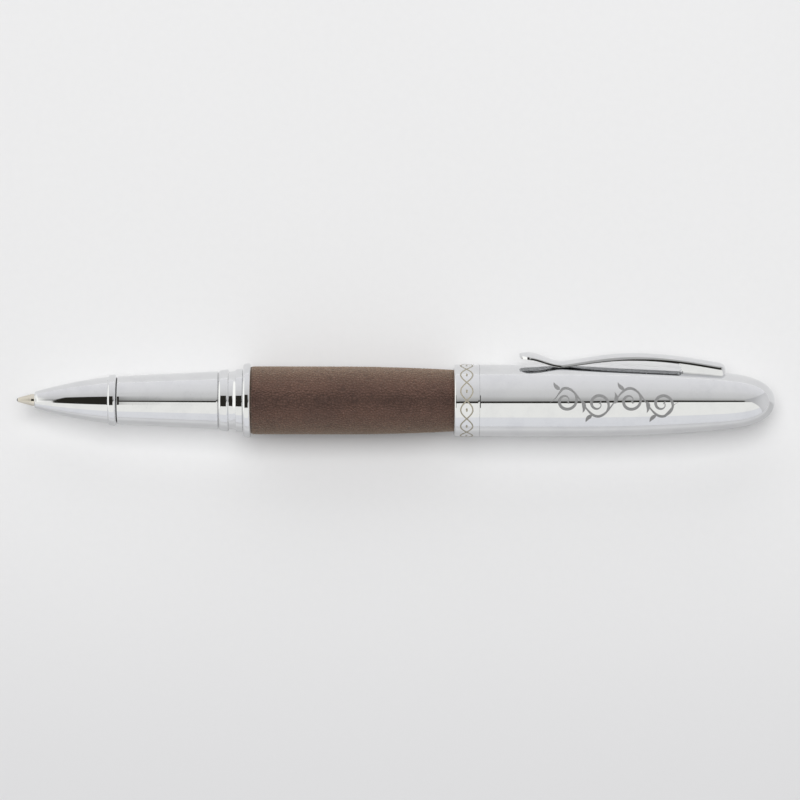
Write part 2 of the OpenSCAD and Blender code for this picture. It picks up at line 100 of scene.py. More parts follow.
SEAM = 0.15
BEAD_W = 1.65
BEAD_RISE = 0.45
NOSE_REAR_R = BEAD_R - BEAD_RISE
GRIP_FRONT_R = 4.57
RING_W = 1.95
GROOVE_W = 1.3
RING_R = LAND_R - 0.14
WICK_BORE_R = 0.62
CORE_BORE_R = 3.15
CORE_FRONT_R = CORE_BORE_R + 0.45
CORE_R = CORE_BORE_R + 0.85
THREAD_PITCH = 1.0
THREAD_DEPTH = 0.4
FIT = 0.02
RUN_FIT = 0.05
LEATHER_T = 0.6
LEATHER_REAR_R = SPIGOT_R + 0.4
SLEEVE_STRAIGHT = 0.43
CAP_WALL = 0.45
CAP_STRAIGHT = 22.3
CAP_TAPER_RADIUS = 304
DOME_LEN = 15
CLIP_ANGLE = math.radians(15)
CLIP_W = 3.2
PADDLE_W = 4.3
NECK_X = CLIP_X + 8.2
ARCH_X = CLIP_X + 21.9
NECK_T = 0.76
ARCH_T = 0.99
NECK_H = CAP_R + 0.03 + NECK_T
ARCH_H = CAP_R + 1.39 + ARCH_T
PADDLE_LIFT = 1.65
FOOT_RISE = 1.85
END_ROUND = 1.3
PLATE = 0.78


# ---------------------------------------------------------------- mesh helpers

def mesh_piece(name, points, quads, tris=(), smooth_angle=40):
    """A mesh object from points in millimetres and arrays of quad and triangle corners."""
    mesh = bpy.data.meshes.new(name)
    quads = np.asarray(quads, np.int32).reshape(-1, 4)
    tris = np.asarray(tris, np.int32).reshape(-1, 3)
    corners = np.concatenate([quads.ravel(), tris.ravel()])
    starts = np.concatenate([np.arange(len(quads)) * 4, len(quads) * 4 + np.arange(len(tris)) * 3])
    totals = np.concatenate([np.full(len(quads), 4), np.full(len(tris), 3)])
    mesh.vertices.add(len(points))
    mesh.vertices.foreach_set("co", (np.asarray(points, float) * MM).ravel())
    mesh.loops.add(len(corners))
    mesh.loops.foreach_set("vertex_index", corners.astype(np.int32))
    mesh.polygons.add(len(totals))
    mesh.polygons.foreach_set("loop_start", starts.astype(np.int32))
    mesh.polygons.foreach_set("loop_total", totals.astype(np.int32))
    mesh.update(calc_edges=True)
    mesh.validate()
    mesh.shade_smooth()
    mesh.set_sharp_from_angle(angle=math.radians(smooth_angle))
    piece = bpy.data.objects.new(name, mesh)
    bpy.context.scene.collection.objects.link(piece)
    return piece


def grid_quads(rows, columns, wrap_rows, wrap_columns):
    """Corners of the quads between neighbouring points of a grid, wrapped round where asked."""
    i = np.arange(rows if wrap_rows else rows - 1)[:, None]
    j = np.arange(columns if wrap_columns else columns - 1)[None, :]
    down = (i + 1) % rows
    right = (j + 1) % columns
    return np.stack([i * columns + j, i * columns + right, down * columns + right, down * columns + j], -1)


def end_fans(rows, columns):
    """Triangles from a grid's first and last rows to the two end points that follow it in the list."""
    j = np.arange(columns)
    right = (j + 1) % columns
    first, last, base = rows * columns, rows * columns + 1, (rows - 1) * columns
    return np.concatenate([
        np.stack([np.full(columns, first), right, j], -1),
        np.stack([np.full(columns, last), base + j, base + right], -1)])


def turned_points(outline, around):
    """Points of an outline [x, r] turned about the X axis: (x, r cos a, r sin a) for each angle a."""
    a = np.linspace(0, 2 * np.pi, around, endpoint=False)
    x, r = outline[:, :1], outline[:, 1:2]
    return np.stack([x + 0 * a, r * np.cos(a), r * np.sin(a)], -1)


def ring_piece(name, outline, around=192, recess=None):
    """A closed ring or tube: a closed outline [x, r], outside from front to back and inside back again.

    recess tells from the outline's x and r where the metal is sunk in a seam, to be dulled there and darkened
    with painted shade."""
    outline = np.asarray(outline, float)
    points = turned_points(outline, around)
    piece = mesh_piece(name, points.reshape(-1, 3), grid_quads(len(outline), around, True, True))
    if recess:
        sunk = recess(outline[:, 0], outline[:, 1]).astype(float)
        add_attribute(piece, "recess", np.repeat(sunk, around))
    return piece


def add_attribute(piece, name, values):
    """One number for each point of a piece, for its material to read."""
    attribute = piece.data.attributes.new(name, "FLOAT", "POINT")
    attribute.data.foreach_set("value", np.asarray(values, np.float32).ravel())


def solid_piece(name, outline, around=192):
    """A solid of revolution: an outline [x, r] from a pole on the axis in front to a pole behind."""
    outline = np.asarray(outline, float)
    middle = outline[1:-1]
    points = turned_points(middle, around).reshape(-1, 3)
    points = np.concatenate([points, [[outline[0, 0], 0, 0], [outline[-1, 0], 0, 0]]])
    quads = grid_quads(len(middle), around, False, True)
    return mesh_piece(name, points, quads, end_fans(len(middle), around))


def bow(p, q, sag, count):
    """Points of a circular arc from p to q that bulges by sag to the left of the way from p to q."""
    p, q = np.asarray(p, float), np.asarray(q, float)
    chord = np.linalg.norm(q - p)
    radius = (chord ** 2 / 4 + sag ** 2) / (2 * sag)
    half = math.asin(chord / 2 / radius)
    along = (q - p) / chord
    out = np.array([-along[1], along[0]])
    centre = (p + q) / 2 - out * (radius - sag)
    a = np.linspace(-half, half, count)[:, None]
    return centre + out * radius * np.cos(a) + along * radius * np.sin(a)


def crowned(x0, x1, foot0, foot1, low, high, front, rear):
    """A raised ring: part of an ellipse up, a crown that rises by a few degrees, and an ellipse down."""
    t = np.linspace(0, 1, 12)[:, None]
    up = np.hstack([x0 + front * (1 - np.cos(1.35 * t)) / (1 - np.cos(1.35)),
                    foot0 + (low - foot0) * np.sin(1.35 * t) / np.sin(1.35)])
    crown = np.hstack([x0 + front + (x1 - x0 - front - rear) * t,
                       low + (high - low) * (1.3 * t - 0.3 * t * t)])
    down = np.hstack([x1 - rear * (1 - np.sin(np.pi / 2 * t)),
                      foot1 + (high - foot1) * np.cos(np.pi / 2 * t)])
    return np.concatenate([up, crown[1:], down[1:]])


def rounded(outline, radius, closed=True, count=5):
    """An outline with each corner replaced by a short curve that starts and ends radius away from it."""
    outline = np.asarray(outline, float)
    before, after = np.roll(outline, 1, 0), np.roll(outline, -1, 0)
    out = []
    for i, (corner, back, on) in enumerate(zip(outline, before, after)):
        if not closed and i in (0, len(outline) - 1):
            out.append(corner[None])
            continue
        to_back, to_on = back - corner, on - corner
        reach_back = min(radius, 0.45 * np.linalg.norm(to_back))
        reach_on = min(radius, 0.45 * np.linalg.norm(to_on))
        a = corner + to_back / np.linalg.norm(to_back) * reach_back
        b = corner + to_on / np.linalg.norm(to_on) * reach_on
        t = np.linspace(0, 1, count)[:, None]
        out.append((1 - t) ** 2 * a + 2 * t * (1 - t) * corner + t ** 2 * b)
    return np.concatenate(out)


def bar_points(path, across, up, width, height, corners=12):
    """Sections of a bar with rounded corners along a path.

    Each section is the curve (|cos|^k, |sin|^k) with k under one, times half the width across and
    half the height up."""
    a = np.linspace(0, 2 * np.pi, corners, endpoint=False) + np.pi / corners
    flat = 0.55
    c = np.sign(np.cos(a)) * np.abs(np.cos(a)) ** flat
    s = np.sign(np.sin(a)) * np.abs(np.sin(a)) ** flat
    side = across[:, None, :] * (width[:, None, None] / 2) * c[None, :, None]
    lift = up[:, None, :] * (height[:, None, None] / 2) * s[None, :, None]
    return path[:, None, :] + side + lift


def bar(path, across, up, width, height, closed=False, corners=12):
    """A bar's points, quads and triangles along a path, looped or ended with a fan at each end."""
    points = bar_points(path, across, up, width, height, corners).reshape(-1, 3)
    quads = grid_quads(len(path), corners, closed, True)[..., ::-1].reshape(-1, 4)
    if closed:
        return points, quads, np.zeros((0, 3), int)
    fans = end_fans(len(path), corners)[:, [0, 2, 1]]
    return np.concatenate([points, path[:1], path[-1:]]), quads, fans


def joined(name, parts, smooth_angle=60):
    """One mesh object from several lists of points, quads and triangles."""
    offsets = np.cumsum([0] + [len(p[0]) for p in parts[:-1]])
    return mesh_piece(
        name,
        np.concatenate([p[0] for p in parts]),
        np.concatenate([p[1] + o for p, o in zip(parts, offsets)]),
        np.concatenate([p[2] + o for p, o in zip(parts, offsets)]),
        smooth_angle)


# ---------------------------------------------------------------- node helpers

class Nodes:
    """Short calls that add nodes to a tree and link them. Most give the new node's output."""

    def __init__(self, tree):
        self.tree = tree

    def add(self, kind, inputs=None, **settings):
        """A new node, with values or links for its inputs and settings of its own."""
        node = self.tree.nodes.new(kind)
        for key, value in settings.items():
            setattr(node, key, value)
        for key, value in (inputs or {}).items():
            self.feed(node.inputs[key], value)
        return node

    def feed(self, socket, value):
        """Links a socket to another, or sets its value."""
        if isinstance(value, bpy.types.NodeSocket):
            self.tree.links.new(value, socket)
        else:
            socket.default_value = value

    def attribute(self, name):
        """A number stored at the mesh's points."""
        return self.add("ShaderNodeAttribute", attribute_name=name).outputs["Fac"]

    def place(self):
        """The object's own coordinates, in metres."""
        return self.add("ShaderNodeTexCoord").outputs["Object"]

    def split(self, vector):
        """A vector's x, y and z."""
        return self.add("ShaderNodeSeparateXYZ", {0: vector}).outputs

    def noise(self, vector, scale, detail=2.0, roughness=0.5):
        """Smooth noise from 0 to 1."""
        return self.add("ShaderNodeTexNoise", {
            "Vector": vector, "Scale": scale, "Detail": detail, "Roughness": roughness}).outputs[0]

    def math(self, operation, a, b=0.0, c=0.0):
        """One step of arithmetic."""
        return self.add("ShaderNodeMath", {0: a, 1: b, 2: c}, operation=operation).outputs[0]

    def between(self, value, low, high, to_low=0.0, to_high=1.0, kind="SMOOTHSTEP"):
        """Goes from to_low to to_high as value goes from low to high, and stays there beyond."""
        node = self.add("ShaderNodeMapRange", {0: value, 1: low, 2: high, 3: to_low, 4: to_high})
        node.interpolation_type = kind
        return node.outputs[0]

    def mix(self, share, a, b):
        """A colour between a and b."""
        node = self.add("ShaderNodeMix", data_type="RGBA")
        self.feed(node.inputs[0], share)
        self.feed(node.inputs[6], a)
        self.feed(node.inputs[7], b)
        return node.outputs[2]

    def ramp(self, value, stops):
        """A colour looked up in a list of (position, colour)."""
        node = self.add("ShaderNodeValToRGB", {0: value})
        ramp = node.color_ramp
        ramp.interpolation = "LINEAR"
        ramp.elements[0].position, ramp.elements[0].color = stops[0]
        ramp.elements[1].position, ramp.elements[1].color = stops[-1]
        for position, colour in stops[1:-1]:
            ramp.elements.new(position).color = colour
        return node.outputs[0]


def linear(value):
    """The linear light of a display value from 0 to 255."""
    v = value / 255
    return v / 12.92 if v <= 0.04045 else ((v + 0.055) / 1.055) ** 2.4


def colour(r, g, b):
    """A linear colour from display values from 0 to 255."""
    return (linear(r), linear(g), linear(b), 1.0)


def group(name, inputs, outputs):
    """An empty shader group with named inputs (name, kind, default) and outputs (name, kind)."""
    tree = bpy.data.node_groups.new(name, "ShaderNodeTree")
    for label, kind, default in inputs:
        socket = tree.interface.new_socket(name=label, in_out="INPUT", socket_type="NodeSocket" + kind)
        socket.default_value = default
    for label, kind in outputs:
        tree.interface.new_socket(name=label, in_out="OUTPUT", socket_type="NodeSocket" + kind)
    nodes = Nodes(tree)
    return tree, nodes, nodes.add("NodeGroupInput").outputs, nodes.add("NodeGroupOutput").inputs


def wipe_marks():
    """Hairlines and cloudy smears left by wiping: a mask of fine lines in three directions, and a haze."""
    tree, n, given, result = group(
        "wipe marks", [("Scale", "Float", 1.0), ("Amount", "Float", 0.5)],
        [("Lines", "Float"), ("Haze", "Float")])
    place = n.place()
    total = None
    for turn, stretch, seed in (
            ((0.2, 0.5, 0.1), (90, 2600, 2600), 1.7),
            ((1.1, 0.2, 0.9), (2400, 110, 2400), 5.1),
            ((0.5, 1.3, 2.0), (2000, 2000, 130), 9.4)):
        moved = n.add("ShaderNodeMapping", {"Vector": place, "Rotation": turn, "Scale": stretch})
        noise = n.add("ShaderNodeTexNoise", {
            "Vector": moved.outputs[0], "Scale": given["Scale"], "Detail": 1.0}, noise_dimensions="4D")
        noise.inputs["W"].default_value = seed
        line = n.between(noise.outputs[0], 0.66, 0.76)
        total = line if total is None else n.math("MAXIMUM", total, line)
    haze = n.between(n.noise(place, 260.0, 4.0, 0.6), 0.4, 0.72)
    n.feed(result["Lines"], n.math("MULTIPLY", total, given["Amount"]))
    n.feed(result["Haze"], n.math("MULTIPLY", haze, given["Amount"]))
    return tree


def turning_marks():
    """Fine rings left by a lathe tool, and broad tone changes along the piece."""
    tree, n, given, result = group(
        "turning marks", [("Pitch", "Float", 0.08), ("Depth", "Float", 0.5)],
        [("Rings", "Float"), ("Tone", "Float")])
    place = n.split(n.place())
    along = n.math("DIVIDE", n.math("MULTIPLY", place[0], 1000.0), given["Pitch"])
    noise = n.add("ShaderNodeTexNoise", {"W": along, "Scale": 1.0, "Detail": 3.0}, noise_dimensions="1D")
    slow = n.math("MULTIPLY", place[0], 300.0)
    broad = n.add("ShaderNodeTexNoise", {"W": slow, "Scale": 1.0}, noise_dimensions="1D")
    n.feed(result["Rings"], n.math("MULTIPLY", noise.outputs[0], given["Depth"]))
    n.feed(result["Tone"], broad.outputs[0])
    return tree


def fine_grain():
    """Small rounded grains with creases between them, and cloudy tone: for moulded skins and leather."""
    tree, n, given, result = group(
        "fine grain", [("Scale", "Float", 1000.0), ("Softness", "Float", 0.5)],
        [("Grain", "Float"), ("Crease", "Float"), ("Cloud", "Float")])
    place = n.place()
    warp = n.add("ShaderNodeTexNoise", {"Vector": place, "Scale": n.math("MULTIPLY", given["Scale"], 0.4)})
    shift = n.add("ShaderNodeVectorMath", {0: warp.outputs["Color"], 1: (0.0009,) * 3}, operation="MULTIPLY")
    moved = n.add("ShaderNodeVectorMath", {0: place, 1: shift.outputs[0]}, operation="ADD").outputs[0]
    cells = n.add("ShaderNodeTexVoronoi", {"Vector": moved, "Scale": given["Scale"]},
                  feature="DISTANCE_TO_EDGE")
    dust = n.noise(place, n.math("MULTIPLY", given["Scale"], 3.0), 3.0)
    dome = n.between(cells.outputs[0], 0.0, given["Softness"])
    n.feed(result["Grain"], n.math("MULTIPLY_ADD", dust, 0.3, dome))
    n.feed(result["Crease"], n.math("SUBTRACT", 1.0, dome))
    n.feed(result["Cloud"], n.noise(place, 140.0, 4.0, 0.55))
    return tree


WIPE = wipe_marks()
TURNING = turning_marks()
GRAIN = fine_grain()


def material(name):
    """A new material with its tree cleared down to a Principled shader and an output."""
    made = bpy.data.materials.new(name)
    made.use_nodes = True
    made.node_tree.nodes.clear()
    n = Nodes(made.node_tree)
    shader = n.add("ShaderNodeBsdfPrincipled")
    n.add("ShaderNodeOutputMaterial", {"Surface": shader.outputs[0]})
    return made, n, shader


def placed(n, tree, **values):
    """A group placed in a material with its own values."""
    node = n.add("ShaderNodeGroup", node_tree=tree)
    for key, value in values.items():
        n.feed(node.inputs[key], value)
    return node.outputs


def bump(n, shader, height, depth_mm, strength=1.0):
    """Feeds a height of depth_mm at most into the shader's normal."""
    node = n.add("ShaderNodeBump", {"Height": height, "Distance": depth_mm * MM, "Strength": strength})
    n.feed(shader.inputs["Normal"], node.outputs[0])


def polished_chrome():
    """Mirror plate with hairlines that scatter a little and hazy wiped patches.

    The attribute recess dulls the metal down in a seam and darkens it there as painted shade; under dulls and
    darkens it less, on the clip's underside ahead of its foot and on its tang. Diffuse surfaces close by get
    a steady light from it, for what it mirrors to them."""
    made, n, shader = material("polished chrome")
    marks = placed(n, WIPE, Scale=1.0, Amount=1.0)
    recess = n.attribute("recess")
    under = n.attribute("under")
    plate = n.mix(marks["Haze"], (0.785, 0.79, 0.797, 1), (0.745, 0.75, 0.762, 1))
    lined = n.mix(n.math("MULTIPLY", marks["Lines"], 0.12), plate, (0.66, 0.66, 0.66, 1))
    raw = n.mix(under, lined, (0.52, 0.525, 0.53, 1))
    # painted shade: where recess is 1 the base colour goes nearly black
    n.feed(shader.inputs["Base Color"], n.mix(recess, raw, (0.06, 0.058, 0.055, 1)))
    shader.inputs["Metallic"].default_value = 1.0
    rough = n.math("MULTIPLY_ADD", marks["Haze"], 0.02, 0.03)
    worn = n.math("MULTIPLY_ADD", marks["Lines"], 0.05, rough)
    dulled = n.math("MULTIPLY_ADD", recess, 0.4, n.math("MULTIPLY_ADD", under, 0.22, worn))
    n.feed(shader.inputs["Roughness"], dulled)
    place = n.split(n.place())
    below = n.between(place[0], 0.05, 0.09, 0.42, 0.18)
    sent = n.math("MULTIPLY_ADD", n.between(place[1], -0.002, 0.002, 1.0, 0.0), below, 0.08)
    n.feed(shader.inputs["Emission Strength"],
           n.math("MULTIPLY", n.add("ShaderNodeLightPath").outputs["Is Diffuse Ray"], sent))
    shader.inputs["Emission Color"].default_value = (1.0, 1.0, 1.01, 1)
    made.cycles.emission_sampling = "NONE"
    bump(n, shader, marks["Lines"], 0.0004, 0.5)
    return made


def turned_metal(name, base, dark, roughness, pitch=0.07, depth_mm=0.002):
    """Metal straight from the lathe: fine rings in its colour, roughness and height, and wiped haze.

    The attribute polished smooths a part that has been burnished."""
    made, n, shader = material(name)
    rings = placed(n, TURNING, Pitch=pitch, Depth=1.0)
    marks = placed(n, WIPE, Scale=0.8, Amount=0.6)
    tone = n.mix(rings["Tone"], base, dark)
    n.feed(shader.inputs["Base Color"], n.mix(n.math("MULTIPLY", marks["Haze"], 0.4), tone, dark))
    shader.inputs["Metallic"].default_value = 1.0
    rough = n.math("MULTIPLY_ADD", rings["Rings"], 0.18, roughness - 0.08)
    worn = n.math("MULTIPLY_ADD", marks["Lines"], 0.1, rough)
    polished = n.attribute("polished")
    n.feed(shader.inputs["Roughness"], n.math("MULTIPLY", worn, n.math("MULTIPLY_ADD", polished, -0.85, 1.0)))
    bump(n, shader, rings["Rings"], depth_mm, 0.6)
    return made


def moulded_plastic(name, base, dark, roughness):
    """Moulded plastic with a very fine skin texture and slightly cloudy colour."""
    made, n, shader = material(name)
    skin = placed(n, GRAIN, Scale=6000.0, Softness=0.5)
    n.feed(shader.inputs["Base Color"], n.mix(skin["Cloud"], base, dark))
    n.feed(shader.inputs["Roughness"], n.math("MULTIPLY_ADD", skin["Grain"], 0.12, roughness - 0.06))
    bump(n, shader, skin["Grain"], 0.003, 0.4)
    return made


def ink_fibre():
    """Bundled fibres along the refill, soaked unevenly with blue-black ink."""
    made, n, shader = material("inked fibre")
    place = n.place()
    stretched = n.add("ShaderNodeMapping", {"Vector": place, "Scale": (300, 9000, 9000)})
    strands = n.noise(stretched.outputs[0], 1.0, 3.0)
    soak = n.noise(place, 120.0)
    wet = n.mix(soak, (0.010, 0.014, 0.055, 1), (0.03, 0.04, 0.13, 1))
    n.feed(shader.inputs["Base Color"], n.mix(n.math("MULTIPLY", strands, 0.5), wet, (0.09, 0.10, 0.2, 1)))
    n.feed(shader.inputs["Roughness"], n.between(strands, 0.3, 0.7, 0.65, 0.9))
    bump(n, shader, strands, 0.02, 0.8)
    return made


def pebbled_leather():
    """Brown leather: painted shade in the pebbles' creases and hollows, cloudy tone, slightly glossier high
    spots, dark edges, painted shade where it faces the view, and a painted sheen where the surface turns
    away.

    The attribute relief holds the height of the modelled pebbles, and edge the nearness to a turned end."""
    made, n, shader = material("pebbled leather")
    grain = placed(n, GRAIN, Scale=2600.0, Softness=0.42)
    relief = n.attribute("relief")
    edge = n.attribute("edge")
    away = n.add("ShaderNodeLayerWeight", {"Blend": 0.5}).outputs["Facing"]
    cloudy = n.mix(n.between(grain["Cloud"], 0.35, 0.65), colour(116, 86, 74), colour(103, 76, 66))
    # painted shade: where the leather faces the view head on, its colour is darkened
    facing_shade = n.mix(n.between(away, 0.003, 0.04, 0.62, 0.0), cloudy, colour(60, 40, 33))
    # painted sheen: the colour lightens to a warm tan where the surface turns away from the view
    grazing_sheen = n.mix(n.math("POWER", away, 1.5), facing_shade, colour(180, 153, 126))
    # painted shade: low spots between the modelled pebbles are darkened
    high = n.mix(relief, n.mix(0.5, grazing_sheen, colour(44, 29, 23)), grazing_sheen)
    # painted shade: the creases between grains are darkened
    creased = n.mix(n.math("MULTIPLY", grain["Crease"], 0.28), high, colour(38, 27, 23))
    n.feed(shader.inputs["Base Color"], n.mix(n.math("MULTIPLY", edge, 0.75), creased, colour(30, 21, 18)))
    shade = n.math("MULTIPLY_ADD", grain["Crease"], 0.16, 0.40)
    n.feed(shader.inputs["Roughness"], n.math("SUBTRACT", shade, n.math("MULTIPLY", relief, 0.05)))
    shader.inputs["Specular IOR Level"].default_value = 0.42
    shader.inputs["Sheen Weight"].default_value = 0.2
    shader.inputs["Sheen Tint"].default_value = (1.0, 0.84, 0.66, 1)
    shader.inputs["Sheen Roughness"].default_value = 0.4
    bump(n, shader, grain["Grain"], 0.12, 1.0)
    return made


def etched_mark(name, tone, deep):
    """A matt etched line on metal: fine speckle in tone, roughness and height."""
    made, n, shader = material(name)
    speck = placed(n, GRAIN, Scale=9000.0, Softness=0.6)
    n.feed(shader.inputs["Base Color"], n.mix(speck["Crease"], tone, deep))
    n.feed(shader.inputs["Roughness"], n.math("MULTIPLY_ADD", speck["Cloud"], 0.2, 0.5))
    shader.inputs["Metallic"].default_value = 0.25
    bump(n, shader, speck["Grain"], 0.003, 0.6)
    return made


CHROME = polished_chrome()
LEATHER = pebbled_leather()
BRASS = turned_metal("turned brass", (0.72, 0.50, 0.20, 1), (0.55, 0.36, 0.13, 1), 0.28)
STEEL = turned_metal("turned steel", (0.62, 0.62, 0.62, 1), (0.46, 0.46, 0.47, 1), 0.3)
SATIN = turned_metal("satin aluminium", (0.72, 0.72, 0.73, 1), (0.60, 0.60, 0.61, 1), 0.36)
SPRING_WIRE = turned_metal("spring wire", (0.45, 0.45, 0.46, 1), (0.32, 0.32, 0.33, 1), 0.26, pitch=0.02)
POINT_METAL = turned_metal("nickel silver", (0.80, 0.76, 0.67, 1), (0.70, 0.65, 0.56, 1), 0.42, pitch=0.03)
CARBIDE = turned_metal("tungsten carbide", (0.28, 0.28, 0.29, 1), (0.20, 0.20, 0.21, 1), 0.2, pitch=0.02)
WHITE_PLASTIC = moulded_plastic("natural plastic", (0.78, 0.77, 0.72, 1), (0.70, 0.69, 0.64, 1), 0.42)
BLACK_PLASTIC = moulded_plastic("black plastic", (0.022, 0.022, 0.023, 1), (0.035, 0.035, 0.036, 1), 0.45)
INK_FIBRE = ink_fibre()
ETCHED_GREY = etched_mark("etched grey", colour(160, 160, 160), colour(138, 138, 138))
ETCHED_WARM = etched_mark("etched warm grey", colour(188, 182, 166), colour(160, 154, 138))

FINISH = {
    "chrome": CHROME, "leather": LEATHER, "brass": BRASS, "steel": STEEL, "satin_metal": SATIN,
    "spring_steel": SPRING_WIRE, "point_metal": POINT_METAL, "carbide": CARBIDE,
    "white_plastic": WHITE_PLASTIC, "black_plastic": BLACK_PLASTIC, "ink_fibre": INK_FIBRE,
    "etched_metal": ETCHED_GREY,
}
SLOT_OF = {s["node"]: s["material_slot"] for s in frame["record"]["subparts"]}
BODY_OF = {n: b for b, ns in frame["record"]["behaviour"]["bodies"].items() for n in ns}


def dress_cad_nodes():
    """Gives every CAD node the finish of its own slot."""
    for name, node in frame["nodes"].items():
        node.data.materials.clear()
        node.data.materials.append(FINISH[SLOT_OF[name]])


def stands_for(piece, node, finish=None):
    """piece takes a CAD node's place and body, and the finish of its slot."""
    piece.data.materials.append(finish or FINISH[SLOT_OF[node]])
    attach(piece, BODY_OF[node])
    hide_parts(node)
    return piece


# ---------------------------------------------------------------- refill point and ball

def writing_ball():
    """A sphere: radius times (1 - cos t) along the axis and radius times sin t across it."""
    t = np.linspace(0, np.pi, 33)
    outline = np.stack([BALL_X + BALL_R * (1 - np.cos(t)), BALL_R * np.sin(t)], -1)
    stands_for(solid_piece("writing_ball", outline, 64), "refill_ball")


def writing_point():
    """A cone with a thin rolled lip round the ball's socket, a burnished shoulder, then a straight barrel."""
    shoulder = 2.82
    channel = 0.15
    around = 96
    socket = BALL_R + FIT
    lip_x = BALL_R * 0.7
    a = np.linspace(math.acos((BALL_R - lip_x) / socket) + 0.1, 2.6, 12)
    cup = np.stack([BALL_R - socket * np.cos(a), socket * np.sin(a)], -1)
    outside = np.array([
        [lip_x, socket + 0.012], [lip_x + 0.03, socket + 0.035], [lip_x + 0.1, socket + 0.06],
        [shoulder - 0.12, POINT_R - 0.13], [shoulder, POINT_R - 0.11], [shoulder + 0.05, POINT_R - 0.103],
        [NOSE_X - 0.58, POINT_R - 0.085], [NOSE_X - 0.54, POINT_R - 0.079], [NOSE_X + 0.05, POINT_R - 0.008],
        [NOSE_X + 0.15, POINT_R], [POINT_END - 0.1, POINT_R],
        [POINT_END, POINT_R - 0.1], [POINT_END, WICK_BORE_R]])
    inside = np.array([
        [shoulder + 0.4, WICK_BORE_R], [shoulder + 0.3, channel], [BALL_R + socket * 0.9, channel]])
    outline = np.concatenate([outside, inside, cup[::-1]])
    piece = ring_piece("writing_point", outline, around)
    polished = (outline[:, 0] > NOSE_X - 0.56) & (outline[:, 0] < NOSE_X + 0.1) & (outline[:, 1] > 0.7)
    add_attribute(piece, "polished", np.repeat(polished.astype(float), around))
    stands_for(piece, "refill_tip")


# ---------------------------------------------------------------- section

def nose_outline():
    """Rounded lip, long shallow arc, half-round bead, narrow land; inside a bore, a cone and a seat."""
    lip_r, lip_end = POINT_R + 0.16, POINT_R + 0.48
    bead_x = GRIP_X - SEAM - BEAD_W
    bead_end = GRIP_X - SEAM
    seat_x = bead_x - 2.5
    outside = np.concatenate([
        [[NOSE_X, POINT_R + 0.06], [NOSE_X, lip_r - 0.04]],
        bow([NOSE_X + 0.02, lip_r], [NOSE_X + 0.44, lip_end], 0.09, 9),
        bow([NOSE_X + 0.46, lip_end + 0.01], [bead_x - 0.05, NOSE_REAR_R], 0.27, 60),
        crowned(bead_x + 0.04, bead_end - 0.02, NOSE_REAR_R + 0.02, NOSE_REAR_R - 0.06,
                BEAD_R - 0.1, BEAD_R, 0.42, 0.5),
        [[bead_end, GRIP_FRONT_R - 0.32], [GRIP_X, GRIP_FRONT_R - 0.32]]])
    core_seat, holder_seat = CORE_FRONT_R + FIT, 2.7
    inside = [[GRIP_X, core_seat], [seat_x, core_seat], [seat_x, holder_seat], [seat_x - 3, holder_seat],
              [NOSE_X + 1.2, POINT_R + RUN_FIT], [NOSE_X + 0.05, POINT_R + RUN_FIT]]
    return np.concatenate([outside, inside])


def nose():
    """The nose's shell, dulled and darkened with painted shade down in the narrow gap behind its bead."""
    def seam(x, r):
        return (x > GRIP_X - SEAM - 0.005) & (r < GRIP_FRONT_R - 0.1)

    stands_for(ring_piece("nose_shell", nose_outline(), 256, seam), "nose_cone")


def grip():
    """A straight taper with broken edges at both ends, thin enough in front to leave a seam, which the nose
    darkens with painted shade.
    """
    bore = CORE_R + FIT
    edge = 0.06
    outline = [
        [GRIP_X, bore], [GRIP_X, GRIP_FRONT_R - edge], [GRIP_X + edge / 2, GRIP_FRONT_R - edge * 0.3],
        [GRIP_X + edge * 1.5, GRIP_FRONT_R + 0.003]]
    end = COLLAR_X - SEAM
    slope = (GRIP_R - GRIP_FRONT_R) / (end - GRIP_X)
    middle = [[x, GRIP_FRONT_R + slope * (x - GRIP_X)] for x in np.linspace(GRIP_X + 0.5, end - 0.5, 12)]
    seam_r = GRIP_R - 0.28
    rear = [[end - edge * 1.5, GRIP_R - slope * edge * 1.5], [end - edge / 2, GRIP_R - edge * 0.3],
            [end, GRIP_R - edge], [end, seam_r], [COLLAR_X, seam_r], [COLLAR_X, bore]]

    # painted shade: the grip's rear seam is darkened a little through recess
    def seam(x, r):
        return 0.3 * ((r < GRIP_R - 0.1) & (x > end - 0.01))

    stands_for(ring_piece("grip_shell", outline + middle + rear, 256, seam), "grip_tube")


def collar():
    """Round snap ring, a groove that shallows to the rear, and a land that falls slightly to the front."""
    groove_x = COLLAR_X + RING_W
    land_x = groove_x + GROOVE_W
    groove_r = GRIP_R
    bore = THREAD_R + FIT
    ring = crowned(
        COLLAR_X + 0.04, groove_x, groove_r - 0.02, groove_r - 0.08, RING_R - 0.12, RING_R, 0.7, 0.4)
    shoulder = np.array([[groove_x + 0.06, groove_r - 0.08], [groove_x + 0.45, groove_r - 0.02],
                         [groove_x + 0.8, groove_r + 0.045], [groove_x + 0.98, groove_r + 0.11],
                         [land_x - 0.12, groove_r + 0.22]])
    front, rear = np.array([land_x + 0.02, LAND_R - 0.13]), np.array([RING_X - 0.06, LAND_R])
    face = [front + (rear - front) * t for t in (0, 0.12, 0.3, 0.5, 0.7, 0.88, 1)]
    land = rounded([[land_x, groove_r + 0.26], *face, [RING_X - 0.02, groove_r]], 0.06, closed=False)
    outline = np.concatenate([
        [[COLLAR_X, bore], [COLLAR_X, groove_r - 0.06]], ring, shoulder, land,
        [[RING_X, groove_r], [RING_X, bore]]])
    stands_for(ring_piece("collar_rings", outline, 256), "snap_collar")


